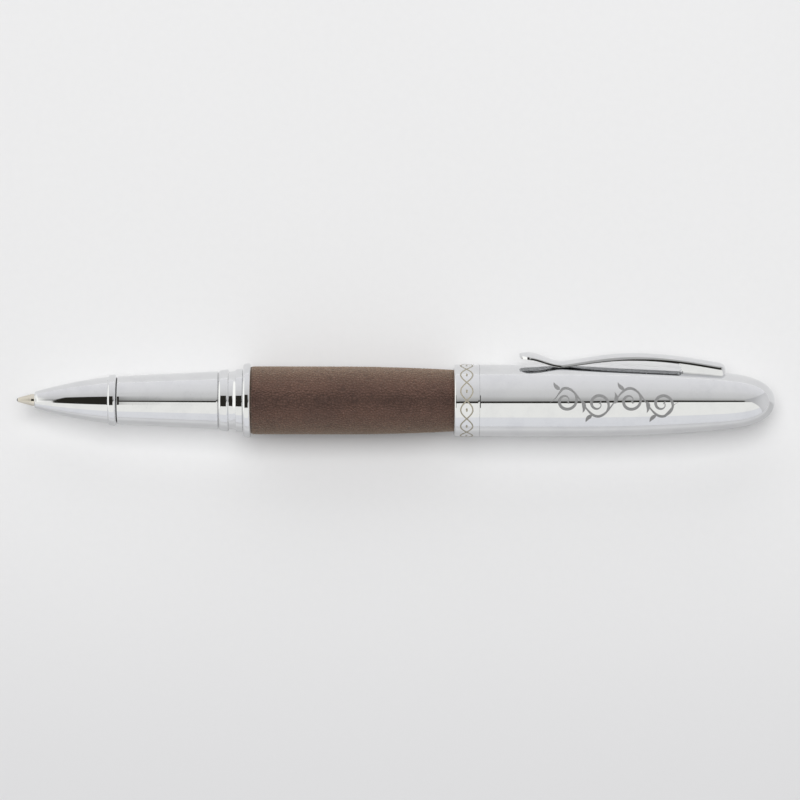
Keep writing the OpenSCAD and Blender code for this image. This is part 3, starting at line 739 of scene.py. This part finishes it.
def section_thread():
    """The core's tail with a helical thread: the radius falls from crest to root as a trapezium of the
    phase x / pitch - angle / 360, and fades to the root at both ends."""
    root_r = THREAD_R - THREAD_DEPTH
    thread_x = SLEEVE_X + 0.6
    around = 96
    xs = np.linspace(RING_X + 0.05, CORE_END - 0.25, 420)
    a = np.linspace(0, 2 * np.pi, around, endpoint=False)
    phase = ((xs[:, None] - thread_x) / THREAD_PITCH - a[None] / (2 * np.pi)) % 1
    height = np.clip((0.34 - np.abs(phase - 0.5)) / 0.16, 0, 1)
    fade = np.clip((xs - thread_x + 0.1) / 0.7, 0, 1) * np.clip((thread_x + 5.4 - xs) / 0.6, 0, 1)
    r = root_r + THREAD_DEPTH * height * fade[:, None]
    points = np.stack([xs[:, None] + 0 * a, r * np.cos(a), r * np.sin(a)], -1)
    front_x = CORE_X + 0.05
    front = turned_points(np.array([
        [front_x, CORE_BORE_R], [front_x, CORE_BORE_R + 0.4], [front_x + 0.1, CORE_FRONT_R],
        [GRIP_X - FIT, CORE_FRONT_R], [GRIP_X - FIT, CORE_R], [COLLAR_X - FIT, CORE_R],
        [COLLAR_X - FIT, THREAD_R], [RING_X, THREAD_R], [RING_X + 0.02, root_r]]), around)
    back = turned_points(np.array([
        [CORE_END, root_r - 0.2], [CORE_END, CORE_BORE_R + 0.15], [CORE_END - 0.15, CORE_BORE_R]]), around)
    points = np.concatenate([front, points, back])
    piece = mesh_piece("threaded_core", points.reshape(-1, 3), grid_quads(len(points), around, True, True))
    stands_for(piece, "section_core")


# ---------------------------------------------------------------- barrel

def large_ring():
    """A bold round ring between two thin flat edges."""
    shoulder = BARREL_RING_R - 0.62
    outline = np.concatenate([
        [[RING_X, THREAD_R + RUN_FIT], [RING_X, shoulder - 0.05]],
        crowned(RING_X + 0.02, SLEEVE_X - 0.02, shoulder, shoulder,
                BARREL_RING_R - 0.11, BARREL_RING_R, 0.42, 0.42),
        [[SLEEVE_X, shoulder - 0.05], [SLEEVE_X, THREAD_R + RUN_FIT]]])
    stands_for(ring_piece("large_ring", outline, 256), "barrel_ring")


def pebbles(around_mm, along_mm, cell, seed):
    """Height from 0 to 1 of rounded pebbles: a smooth step of the difference between the distances to
    the two nearest points of a jittered grid, which closes on itself round the sleeve."""
    random = np.random.default_rng(seed)
    girth = around_mm[-1] + around_mm[1]
    columns = int(round(girth / cell))
    rows = int(math.ceil((along_mm[-1] - along_mm[0]) / cell)) + 3
    jitter = random.random((rows, columns, 2))
    u = (around_mm / girth * columns)[None, :]
    v = ((along_mm - along_mm[0]) / cell + 1)[:, None]
    column, row = np.floor(u).astype(int), np.floor(v).astype(int)
    nearest = np.full((len(along_mm), len(around_mm)), 9.0)
    second = nearest.copy()
    for dv in (-1, 0, 1):
        for du in (-1, 0, 1):
            r = np.clip(row + dv, 0, rows - 1)
            seeds = jitter[r, (column + du) % columns]
            reach = np.hypot(column + du + seeds[..., 0] - u, r + seeds[..., 1] - v)
            second = np.minimum(second, np.maximum(nearest, reach))
            nearest = np.minimum(nearest, reach)
    t = np.clip((second - nearest) / 0.45, 0, 1)
    return t * t * (3 - 2 * t)


def leather_sleeve():
    """The sleeve's outside is the straight and parabolic outline, raised by pebbles of about half a
    millimetre and sunk where its ends turn down; its inside lies on the brass tube."""
    around, along, relief_mm, edge_mm = 384, 236, 0.08, 0.4
    start, end = SLEEVE_X + 0.004, SLEEVE_END
    taper_x = SLEEVE_X + (end - SLEEVE_X) * SLEEVE_STRAIGHT
    xs = np.linspace(start, end, along)
    t = np.clip((xs - taper_x) / (end - taper_x), 0, 1)
    r = LEATHER_R - (LEATHER_R - LEATHER_REAR_R) * t * t
    from_end = np.minimum(xs - start, end - xs)
    turn_down = 0.10 * np.clip(1 - from_end / edge_mm, 0, 1) ** 2.2
    a = np.linspace(0, 2 * np.pi, around, endpoint=False)
    height = pebbles(a * LEATHER_R, xs, 0.52, 7)
    hold = np.clip(from_end / edge_mm, 0, 1)[:, None]
    radius = (r - turn_down)[:, None] - relief_mm * (1 - height * hold)
    outer = np.stack([xs[:, None] + 0 * a, radius * np.cos(a), radius * np.sin(a)], -1)
    inside_x = np.linspace(end, start, 6)
    inside_t = np.clip((inside_x - taper_x) / (end - taper_x), 0, 1)
    inside_r = LEATHER_R - (LEATHER_R - LEATHER_REAR_R) * inside_t ** 2 - LEATHER_T + 0.02
    inner = turned_points(np.stack([inside_x, inside_r], -1), around)
    points = np.concatenate([outer, inner])
    quads = grid_quads(len(points), around, True, True)
    piece = mesh_piece("leather_wrap", points.reshape(-1, 3), quads, smooth_angle=70)
    bare = np.zeros((len(inner), around))
    near_end = 1 - np.clip(from_end / 0.35, 0, 1)[:, None] + 0 * a
    add_attribute(piece, "relief", np.concatenate([height, bare]))
    add_attribute(piece, "edge", np.concatenate([near_end, bare + 1]))
    stands_for(piece, "leather_sleeve")


def refill_spring():
    """A round wire along a helix, with its first and last turns closed flat against their neighbours."""
    wire = 0.2
    coil = SPRING_R - wire
    turns = 5.5
    t = np.linspace(0, 1, 400)
    climb = t - 0.9 / (2 * np.pi * turns) * np.sin(2 * np.pi * t)
    x = SPRING_X + wire + (SPRING_END - SPRING_X - 2 * wire) * climb
    a = 2 * np.pi * turns * t
    out = np.stack([0 * a, np.cos(a), np.sin(a)], -1)
    path = np.stack([x, coil * np.cos(a), coil * np.sin(a)], -1)
    along = np.tile([1.0, 0.0, 0.0], (len(t), 1))
    size = np.full(len(t), 2 * wire)
    piece = joined("coil_spring", [round_wire(path, out, along, size)])
    piece.data.materials.append(SPRING_WIRE)
    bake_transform(piece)
    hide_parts("refill_spring")


def round_wire(path, out, along, size, corners=12):
    """A wire with a round section and domed ends along a path."""
    a = np.linspace(0, 2 * np.pi, corners, endpoint=False)
    ring = out[:, None] * np.cos(a)[None, :, None] + along[:, None] * np.sin(a)[None, :, None]
    points = (path[:, None] + ring * (size[:, None, None] / 2)).reshape(-1, 3)
    quads = grid_quads(len(path), corners, False, True).reshape(-1, 4)
    return np.concatenate([points, path[:1], path[-1:]]), quads, end_fans(len(path), corners)


# ---------------------------------------------------------------- cap

def cap_radius(x):
    """The cap's outside: straight, then a long parabola, then times (1 - s^5)^0.47 over the blunt end."""
    x = np.asarray(x, float)
    drop = np.clip(x - MOUTH_X - CAP_STRAIGHT, 0, None) ** 2 / (2 * CAP_TAPER_RADIUS)
    s = np.clip((x - (CAP_END - DOME_LEN)) / DOME_LEN, 0, 1)
    return (CAP_R - drop) * (1 - s ** 5) ** 0.47


def mouth_band():
    """A straight band with a full round lip in front and a broken edge behind."""
    lip = 0.42
    inner = CAP_R - CAP_WALL
    a = np.linspace(0, np.pi / 2, 9)
    front = np.stack([MOUTH_X + lip * (1 - np.sin(a)), CAP_R - lip + lip * np.cos(a)], -1)[::-1]
    outline = np.concatenate([
        [[MOUTH_X + 0.12, inner], [MOUTH_X, inner + 0.02]], front,
        [[x, CAP_R] for x in np.linspace(MOUTH_X + 1, BAND_END - 0.3, 4)],
        [[BAND_END - 0.05, CAP_R], [BAND_END - 0.015, CAP_R - 0.015],
         [BAND_END, CAP_R - 0.05], [BAND_END, inner]]])
    stands_for(ring_piece("cap_mouth_band", outline, 256), "mouth_band")


def cap_shell():
    """The cap's outline turned: broken front edge, straight, long curve and blunt end, with a wall inside."""
    inner = CAP_R - CAP_WALL
    start = BAND_END + 0.005
    dome_x = CAP_END - DOME_LEN
    straight = np.linspace(start + 0.3, dome_x, 60)
    a = np.linspace(0, np.pi / 2, 70)[1:-1]
    dome = dome_x + DOME_LEN * np.sin(a)
    xs = np.concatenate([straight, dome])
    outside = np.stack([xs, cap_radius(xs)], -1)
    hollow_end = CAP_END - 0.8
    ix = dome_x + (hollow_end - dome_x) * np.sin(np.linspace(0, np.pi / 2, 20)[1:-1])
    ix = np.concatenate([np.linspace(start, dome_x, 20), ix])
    inside = np.stack([ix, cap_radius(ix + 0.03 * np.clip(ix - dome_x, 0, None)) - CAP_WALL], -1)[::-1]
    mouth = [[start, inner], [start, CAP_R - 0.05], [start + 0.015, CAP_R - 0.015], [start + 0.05, CAP_R]]
    outside = np.concatenate([mouth, outside])
    stands_for(shell_with_poles("cap_body", outside, inside, CAP_END, hollow_end, 256), "cap_shell")


def shell_with_poles(name, outside, inside, end, hollow_end, around):
    """A thimble: outside from its open rim to a pole, then the inside from its own pole back to the rim."""
    outer = turned_points(outside, around).reshape(-1, 3)
    inner = turned_points(inside, around).reshape(-1, 3)
    points = np.concatenate([outer, inner, [[end, 0, 0], [hollow_end, 0, 0]]])
    n_out, n_in = len(outside), len(inside)
    j = np.arange(around)
    right = (j + 1) % around
    base_in = n_out * around
    last_out = (n_out - 1) * around
    last_in = base_in + (n_in - 1) * around
    rim = np.stack([last_in + j, last_in + right, right, j], -1)
    quads = np.concatenate([
        grid_quads(n_out, around, False, True).reshape(-1, 4),
        grid_quads(n_in, around, False, True).reshape(-1, 4) + base_in,
        rim])
    pole, hollow_pole = len(points) - 2, len(points) - 1
    fans = np.concatenate([
        np.stack([np.full(around, pole), last_out + j, last_out + right], -1),
        np.stack([np.full(around, hollow_pole), base_in + right, base_in + j], -1)])
    return mesh_piece(name, points, quads, fans)


# ---------------------------------------------------------------- clip

def clip_top(x):
    """Height of the strap's crown over the axis: flared end, neck, arch, then a fall to the rear end."""
    end_x = CLIP_END - END_ROUND
    end_h = cap_radius(end_x) + FOOT_RISE
    lift = (1 - np.cos(np.pi * np.clip((NECK_X - x) / (0.85 * (NECK_X - CLIP_X)), 0, 1))) / 2
    rise = np.sin(np.pi / 2 * np.clip((x - NECK_X) / (ARCH_X - NECK_X), 0, 1)) ** 1.15
    fall = np.cos(np.pi / 2 * np.clip((x - ARCH_X) / (end_x - ARCH_X), 0, 1))
    front = NECK_H + PADDLE_LIFT * lift
    middle = NECK_H + (ARCH_H - NECK_H) * rise
    rear = end_h + (ARCH_H - end_h) * fall
    return np.where(x < NECK_X, front, np.where(x < ARCH_X, middle, rear))


def clip_section():
    """Half of the clip's section from the crown to the middle of the underside, as five columns.

    A point lies at side = m * half width + p * thickness + i and at depth = n * thickness + o under the
    crown. It runs over a shallow crown, a soft shoulder, a side that leans in by 12 to 15 degrees, a
    short upright side and a broken lower edge."""
    shoulder, lean_low, lean_high, upright = 0.17, 0.216, 0.055, 0.05
    crown = [[q, 0, -0.34 * q, 0, 0.13 * q * q] for q in np.linspace(0, 1, 8)]
    side = []
    for f in np.linspace(0, 1, 9):
        inset = lean_low * f + lean_high * f * f
        tall = 1 - upright
        side.append([1, -inset * tall, inset * shoulder, (1 - f) * tall, f * shoulder])
    side = side[::-1]
    corner = np.array(side[0])
    a, b = np.array(crown[-1]), np.array(side[1])
    t = np.linspace(0, 1, 7)[1:-1, None]
    bend = (1 - t) ** 2 * a + 2 * t * (1 - t) * corner + t ** 2 * b
    low = [[1, 0, 0, 1, -0.05], [1, 0, -0.015, 1, -0.015], [1, 0, -0.05, 1, 0], [0.5, 0, 0, 1, 0]]
    return np.concatenate([np.array(crown), bend, np.array(side[1:]), np.array(low)])


def spring_clip():
    """One bar from the flared end to the rounded rear end, swept with clip_section.

    Its crown follows clip_top, its half width is the strap's with a flare and a round tip, and behind
    the foot's front face its upright sides and underside go down into the cap."""
    tip = CLIP_X + 0.02 + 0.9 * (1 - np.cos(np.linspace(0, np.pi / 2, 16)))
    body = np.linspace(CLIP_X + 1.05, FOOT_X - 0.5, 120)
    foot = np.linspace(FOOT_X - 0.4, CLIP_END - END_ROUND, 50)
    rear = CLIP_END - END_ROUND + END_ROUND * np.sin(np.linspace(0, np.pi / 2, 16)[1:])
    x = np.concatenate([tip, body, foot, rear])
    t = np.clip((NECK_X - x) / (NECK_X - CLIP_X), 0, 1)
    flare = (1 - np.cos(np.pi * np.clip(1.3 * t, 0, 1))) / 2
    half = (CLIP_W + (PADDLE_W - CLIP_W) * flare) / 2
    tip_s = np.clip((CLIP_X + PADDLE_W / 2 - x) / (PADDLE_W / 2), 0, 0.995)
    half = half * np.sqrt(1 - tip_s ** 2)
    rear_s = np.clip((x - (CLIP_END - END_ROUND)) / END_ROUND, 0, 0.999)
    half = half * (1 - 0.3 * rear_s ** 3)
    thick = NECK_T + (ARCH_T - NECK_T) * np.clip((x - NECK_X) / (ARCH_X - NECK_X), 0, 1)
    thick = thick * (1 - 0.35 * np.clip((CLIP_X + 0.5 - x) / 0.5, 0, 1) ** 2)
    top = clip_top(x) - 0.8 * END_ROUND * (1 - np.sqrt(1 - rear_s ** 2))
    drop = np.clip((x - FOOT_X + 0.3) / 0.5, 0, 1)
    drop = drop * drop * (3 - 2 * drop)
    sunk = np.sqrt(np.clip(cap_radius(x) ** 2 - (CLIP_W / 2) ** 2, 0.5, None)) - 0.12
    deepen = np.clip(top - thick - sunk, 0, None) * drop
    m, p, i, n, o = clip_section().T
    narrow = np.clip(half / (CLIP_W / 2), 0, 1)[:, None]
    side = np.clip(m * half[:, None] + (p * thick[:, None] + i) * narrow, 0, None)
    depth = n * thick[:, None] + o
    lowest = np.arange(len(m)) >= len(m) - 4
    depth = depth + np.where(lowest, deepen[:, None], 0)
    left = np.stack([x[:, None] + 0 * side, side, top[:, None] - depth], -1)
    right = left[:, ::-1][:, :-1] * [1, -1, 1]
    middle_low = np.stack([x, 0 * x, top - thick - deepen], -1)[:, None]
    local = np.concatenate([left, middle_low, right], 1)
    rows, corners = local.shape[:2]
    points = stand_clip(local).reshape(-1, 3)
    quads = grid_quads(rows, corners, False, True).reshape(-1, 4)[:, ::-1]
    front = [CLIP_X, 0, top[0] - thick[0] / 2]
    back = [CLIP_END, 0, (top[-1] + sunk[-1]) / 2]
    points = np.concatenate([points, stand_clip(np.array([front, back]))])
    strap = (points, quads, end_fans(rows, corners)[:, [0, 2, 1]])
    plate = tang()
    piece = joined("spring_clip", [strap, plate], 50)
    kept = len(m) - 2
    beneath = np.zeros((rows, corners))
    beneath[:, kept:corners - kept + 1] = np.clip((FOOT_X - x) / 0.3, 0, 1)[:, None]
    add_attribute(piece, "under", np.concatenate([beneath.ravel(), [0, 0], np.ones(len(plate[0]))]))
    piece.data.materials.append(CHROME)
    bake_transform(piece)
    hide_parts("clip_arm", "clip_foot")


def tang():
    """The flat tang under the foot: a thin plate from the foot down past the axis, inside the cap."""
    low, high = -1.7, 6.2
    path = stand_clip(np.array([[FOOT_X + 3.0, 0, low], [FOOT_X + 3.0, 0, high]]))
    across = stand_clip(np.array([[1.0, 0, 0], [1.0, 0, 0]]))
    up = stand_clip(np.array([[0, 1.0, 0], [0, 1.0, 0]]))
    return bar(path, across, up, np.array([0.8, 0.8]), np.array([3.1, 3.1]))


def stand_clip(local):
    """Turns (x, side, height) into the pen's frame, with height along the clip's direction."""
    c, s = math.cos(CLIP_ANGLE), math.sin(CLIP_ANGLE)
    x, side, height = local[..., 0], local[..., 1], local[..., 2]
    return np.stack([x, height * c + side * s, height * s - side * c], -1)


# ---------------------------------------------------------------- etched ornament

def on_cap(x, arc, height):
    """Points on the cap at x and at a distance arc round it from the top, height above its surface."""
    r = cap_radius(x) + height
    a = arc / cap_radius(x)
    return np.stack([x, r * np.sin(a), r * np.cos(a)], -1)


def ribbon_on_cap(x, arc, width, lift, closed=False):
    """A flat ribbon with closed sides along a line on the cap, sunk a little into it."""
    path = on_cap(x, arc, lift)
    if closed:
        ahead = np.roll(path, -1, 0) - np.roll(path, 1, 0)
    else:
        ahead = np.gradient(path, axis=0)
    ahead = ahead / np.linalg.norm(ahead, axis=1, keepdims=True)
    out = on_cap(x, arc, 1.0) - on_cap(x, arc, 0.0)
    across = np.cross(out, ahead)
    across = across / np.linalg.norm(across, axis=1, keepdims=True)
    out = np.cross(ahead, across)
    thick = np.full(len(path), 0.03)
    return bar(path - out * 0.004, across, out, width, thick, closed, 8)


def vine_stem(middle, waves, length, reach):
    """A sine line whose height fades at both ends, thicker at its crests."""
    t = np.linspace(0, 1, 500)
    fade = np.clip(np.minimum(t, 1 - t) / 0.1, 0, 1) ** 0.7
    y = reach * np.sin(2 * np.pi * waves * t) * fade
    width = (0.26 + 0.30 * np.abs(np.sin(2 * np.pi * waves * t)) ** 2) * np.clip(fade, 0.3, 1)
    return middle[0] + length * (t - 0.5), middle[1] + y, width


def tendril(x, y, radius, up, turns=1.38):
    """A spiral that starts level at the stem's crest, winds inwards, and ends in a round ball."""
    t = np.linspace(0, 1, 220)
    r = radius * (0.17 + 0.83 * (1 - t) ** 1.15)
    a = up * (np.pi / 2 - 2 * np.pi * turns * t)
    width = 0.20 + 0.40 * np.sin(np.pi * np.clip(t * 1.25, 0, 1)) ** 0.8
    ball = np.sqrt(np.clip(1 - ((t - 0.975) / 0.025) ** 2, 0.02, 1))
    return x + r * np.cos(a), y + r * np.sin(a), np.where(t > 0.95, 0.85 * ball, width)


def leaf(x, y, length, angle, bend):
    """A pointed stroke that swells in its first third and bends one way."""
    t = np.linspace(0, 1, 40)
    turned = angle + bend * t
    along = length * t
    return x + along * np.cos(turned), y + along * np.sin(turned), 0.05 + 0.75 * np.sin(np.pi * t ** 0.7)


def flourish():
    """An engraved vine on the front of the cap: a wave with a tendril in each bend and leaves between."""
    middle, length, reach, waves = (113.95, -0.3), 24.4, 2.75, 2
    strokes = [vine_stem(middle, waves, length, reach)]
    for k in range(2 * waves):
        up = 1 if k % 2 == 0 else -1
        x = middle[0] + length * ((k + 0.5) / (2 * waves) - 0.5)
        strokes.append(tendril(x, middle[1] + up * (reach - 2.42), 2.42, up))
        strokes.append(leaf(x - 1.1, middle[1] + up * reach * 0.92, 1.9, up * 2.75, up * -0.5))
    for k in range(1, 2 * waves):
        up = 1 if k % 2 == 0 else -1
        x = middle[0] + length * (k / (2 * waves) - 0.5)
        strokes.append(leaf(x + 0.1, middle[1] - up * 0.2, 2.2, up * 1.0, up * 0.55))
    parts = [ribbon_on_cap(x, y, w, 0.012 + 0.0012 * (i % 5)) for i, (x, y, w) in enumerate(strokes)]
    piece = joined("etched_vine", parts)
    piece.data.materials.append(ETCHED_GREY)
    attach(piece, "cap")


def band_pattern():
    """Two sine lines that cross round the band and leave a row of lens shapes, with a stroke in each."""
    middle, reach, waves = (MOUTH_X + BAND_END) / 2 - 0.05, 1.15, 12
    a = np.linspace(0, 2 * np.pi, 720, endpoint=False)
    width = np.full(len(a), 0.27)
    wave = reach * np.sin(waves / 2 * a)
    parts = [ribbon_on_cap(middle + side * wave, a * CAP_R, width, 0.012 + lift, True)
             for side, lift in ((1, 0.0), (-1, 0.0015))]
    for k in range(waves):
        centre = (k + 0.5) * 2 * np.pi / waves
        t = np.linspace(-0.36, 0.36, 24)
        stroke = 0.1 + 0.3 * (1 - (t / 0.4) ** 2)
        parts.append(ribbon_on_cap(middle + 0 * t, centre * CAP_R + t, stroke, 0.012))
    piece = joined("etched_band", parts)
    piece.data.materials.append(ETCHED_WARM)
    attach(piece, "cap")


# ---------------------------------------------------------------- floor, light and camera

def floor():
    """A wide pale floor just under the pen's lowest point, with a faint paper tooth.

    Mirrored in metal it has a painted shadow close by on the pen's -y side, and far off it glows with painted
    light."""
    made, n, shader = material("pale floor")
    place = n.place()
    tooth = n.noise(place, 700.0, 5.0)
    broad = n.noise(place, 9.0)
    depth = n.split(place)[1]
    base = n.mix(broad, (0.81, 0.81, 0.81, 1), (0.85, 0.85, 0.852, 1))
    # painted shade: the floor's colour darkens towards -y, fully from 9 cm off the pen's line
    base = n.mix(n.between(depth, -0.09, 0.0, 1.0, 0.0), base, (0.735, 0.735, 0.742, 1))
    # painted shadow: seen in metal, the floor within 5 cm on the pen's -y side is darkened
    mirrored = n.add("ShaderNodeLightPath").outputs["Is Glossy Ray"]
    away = n.add("ShaderNodeVectorMath", {0: place}, operation="LENGTH").outputs["Value"]
    under = n.math("MULTIPLY", n.between(depth, -0.050, -0.012), n.between(depth, -0.004, 0.0, 0.34, 0.0))
    base = n.mix(n.math("MULTIPLY", mirrored, under), base, (0.08, 0.08, 0.084, 1))
    # painted light: seen in metal, the floor glows more the farther it is from the pen
    far_off = n.between(away, 0.2, 1.6, 0.0, 0.5)
    n.feed(shader.inputs["Emission Strength"], n.math("MULTIPLY", mirrored, far_off))
    shader.inputs["Emission Color"].default_value = (1.0, 1.0, 1.01, 1)
    n.feed(shader.inputs["Base Color"], n.mix(n.math("MULTIPLY", tooth, 0.25), base, (0.74, 0.74, 0.74, 1)))
    n.feed(shader.inputs["Roughness"], n.math("MULTIPLY_ADD", tooth, 0.1, 0.75))
    bump(n, shader, tooth, 0.05, 0.3)
    z = CAD_BOX[0][2] - 0.00002
    size = 3.0
    mesh = bpy.data.meshes.new("floor")
    corners = [(-size, -size, z), (size, -size, z), (size, size, z), (-size, size, z)]
    mesh.from_pydata(corners, [], [(0, 1, 2, 3)])
    mesh.materials.append(made)
    piece = bpy.data.objects.new("floor", mesh)
    bpy.context.scene.collection.objects.link(piece)


def studio_world():
    """A soft tent of light, seen by direction in polished metal, and an even dim light on everything else.

    Edges of the tent's panels are planes through the pen: a weighted sum of x, y and z is above zero on
    one side. Overhead is a grey roof with a narrow dark gap; the near side has a bright card; there is a
    grey wall behind the cap's end, and a dark opening with a bright window beyond the writing end."""
    world = bpy.data.worlds.new("studio tent")
    world.use_nodes = True
    world.node_tree.nodes.clear()
    n = Nodes(world.node_tree)
    facing = n.add("ShaderNodeTexCoord").outputs["Generated"]
    way = n.split(facing)
    x, y, z = way[0], way[1], way[2]
    tilt = n.math("MULTIPLY", n.math("ARCTAN2", y, n.math("MAXIMUM", z, 0.0)), 180 / math.pi)
    share = n.math("MULTIPLY_ADD", tilt, 1 / 180, 0.5)

    def side_of(wx, wy, wz, soft=0.02):
        total = n.add("ShaderNodeVectorMath", {0: facing, 1: (wx, wy, wz)}, operation="DOT_PRODUCT")
        return n.between(total.outputs["Value"], -soft, soft)

    def light(r, g, b):
        return tuple(v / PLATE for v in colour(r, g, b)[:3]) + (1,)

    def stop(degrees, r, g, b):
        return ((degrees + 90) / 180, light(r, g, b))

    sides = n.ramp(share, [
        stop(-90, 209, 210, 213), stop(-62, 212, 213, 216), stop(-11, 210, 210, 210), stop(-4, 150, 150, 149),
        stop(0, 157, 157, 156), stop(4, 166, 166, 165), stop(9, 180, 180, 179), stop(14, 190, 190, 190),
        stop(28, 197, 197, 197), stop(42, 206, 206, 207), stop(71, 214, 214, 216),
        stop(90, 217, 217, 219)])
    card_end = side_of(-1, -1.044, 0.647)
    gap_middle = n.math("ADD", n.between(x, 0.0, 0.14, 0.10, 0.016, "LINEAR"), y)
    card_top = n.between(gap_middle, -0.07, -0.04, 1.0, 0.0)
    card = n.math("MULTIPLY", n.math("MULTIPLY", card_top, side_of(-0.26, 1, 1.45, 0.03)), card_end)
    walled = n.math("MULTIPLY", side_of(1, -1.443, -0.357), n.math("SUBTRACT", 1.0, card_end))
    shade = n.between(x, 0.5, 0.95)
    lit = n.mix(walled, sides, n.mix(shade, light(166, 166, 167), light(200, 200, 201)))
    carded = n.mix(card, lit, light(226, 226, 223))
    gap = n.math("MULTIPLY", n.between(n.math("ABSOLUTE", gap_middle), 0.042, 0.060, 1.0, 0.0),
                 n.math("MULTIPLY", n.between(x, 0.45, 0.48, 1.0, 0.0), n.between(x, -0.22, -0.16)))
    across = n.between(n.math("ABSOLUTE", n.math("ADD", y, 0.05)), 0.32, 0.35, 1.0, 0.0)
    near = n.math("MULTIPLY", n.between(x, -0.18, -0.14, 1.0, 0.0), side_of(1, -0.12, 0.60, 0.010))
    dark = n.math("MAXIMUM", gap, n.math("MULTIPLY", across, near))
    window = n.math("MULTIPLY", n.between(x, -0.60, -0.54, 1.0, 0.0), n.between(y, -0.5, -0.3))
    tent = n.mix(dark, n.mix(window, carded, light(250, 250, 246)), light(38, 37, 33))
    ray = n.add("ShaderNodeLightPath").outputs
    even = n.mix(ray["Is Camera Ray"], (0.34, 0.34, 0.344, 1), (0.78, 0.78, 0.785, 1))
    seen = n.mix(ray["Is Glossy Ray"], even, tent)
    background = n.add("ShaderNodeBackground", {"Color": seen, "Strength": 1.0})
    n.add("ShaderNodeOutputWorld", {"Surface": background.outputs[0]})
    bpy.context.scene.world = world


def area_light(name, place, target, size, energy):
    """A rectangular soft light aimed at a point, seen by surfaces but not mirrored in polished metal."""
    light = bpy.data.lights.new(name, "AREA")
    light.shape = "RECTANGLE"
    light.size, light.size_y = size
    light.energy = energy
    lamp = bpy.data.objects.new(name, light)
    bpy.context.scene.collection.objects.link(lamp)
    lamp.location = place
    lamp.rotation_euler = (Vector(target) - Vector(place)).to_track_quat("-Z", "Y").to_euler()
    lamp.visible_glossy = False


def camera():
    """A long lens straight above the pen: 153 mm of the pen's plane across the frame."""
    lens = bpy.data.cameras.new("camera")
    distance, across, middle_x, middle_y, roll = 1.0, 0.15298, 0.07329, 0.0001, 0.0018
    lens.sensor_width = 36
    lens.lens = lens.sensor_width * distance / across
    lens.clip_start, lens.clip_end = 0.01, 20
    eye = bpy.data.objects.new("camera", lens)
    bpy.context.scene.collection.objects.link(eye)
    eye.location = (middle_x, middle_y, distance)
    eye.rotation_euler = (0, 0, roll)
    bpy.context.scene.camera = eye


# ---------------------------------------------------------------- the pen

dress_cad_nodes()
writing_ball()
writing_point()
nose()
grip()
collar()
section_thread()
large_ring()
leather_sleeve()
refill_spring()
mouth_band()
cap_shell()
spring_clip()
flourish()
band_pattern()

floor()
studio_world()
PEN_MIDDLE = (0.073, 0, 0)
area_light("key", (0.05, 0.30, 1.31), PEN_MIDDLE, (0.8, 0.85), 12.4)
area_light("side", (0.02, 1.1, 0.6), PEN_MIDDLE, (1.2, 0.5), 2.9)
camera()
bpy.context.scene.view_settings.view_transform = "Standard"
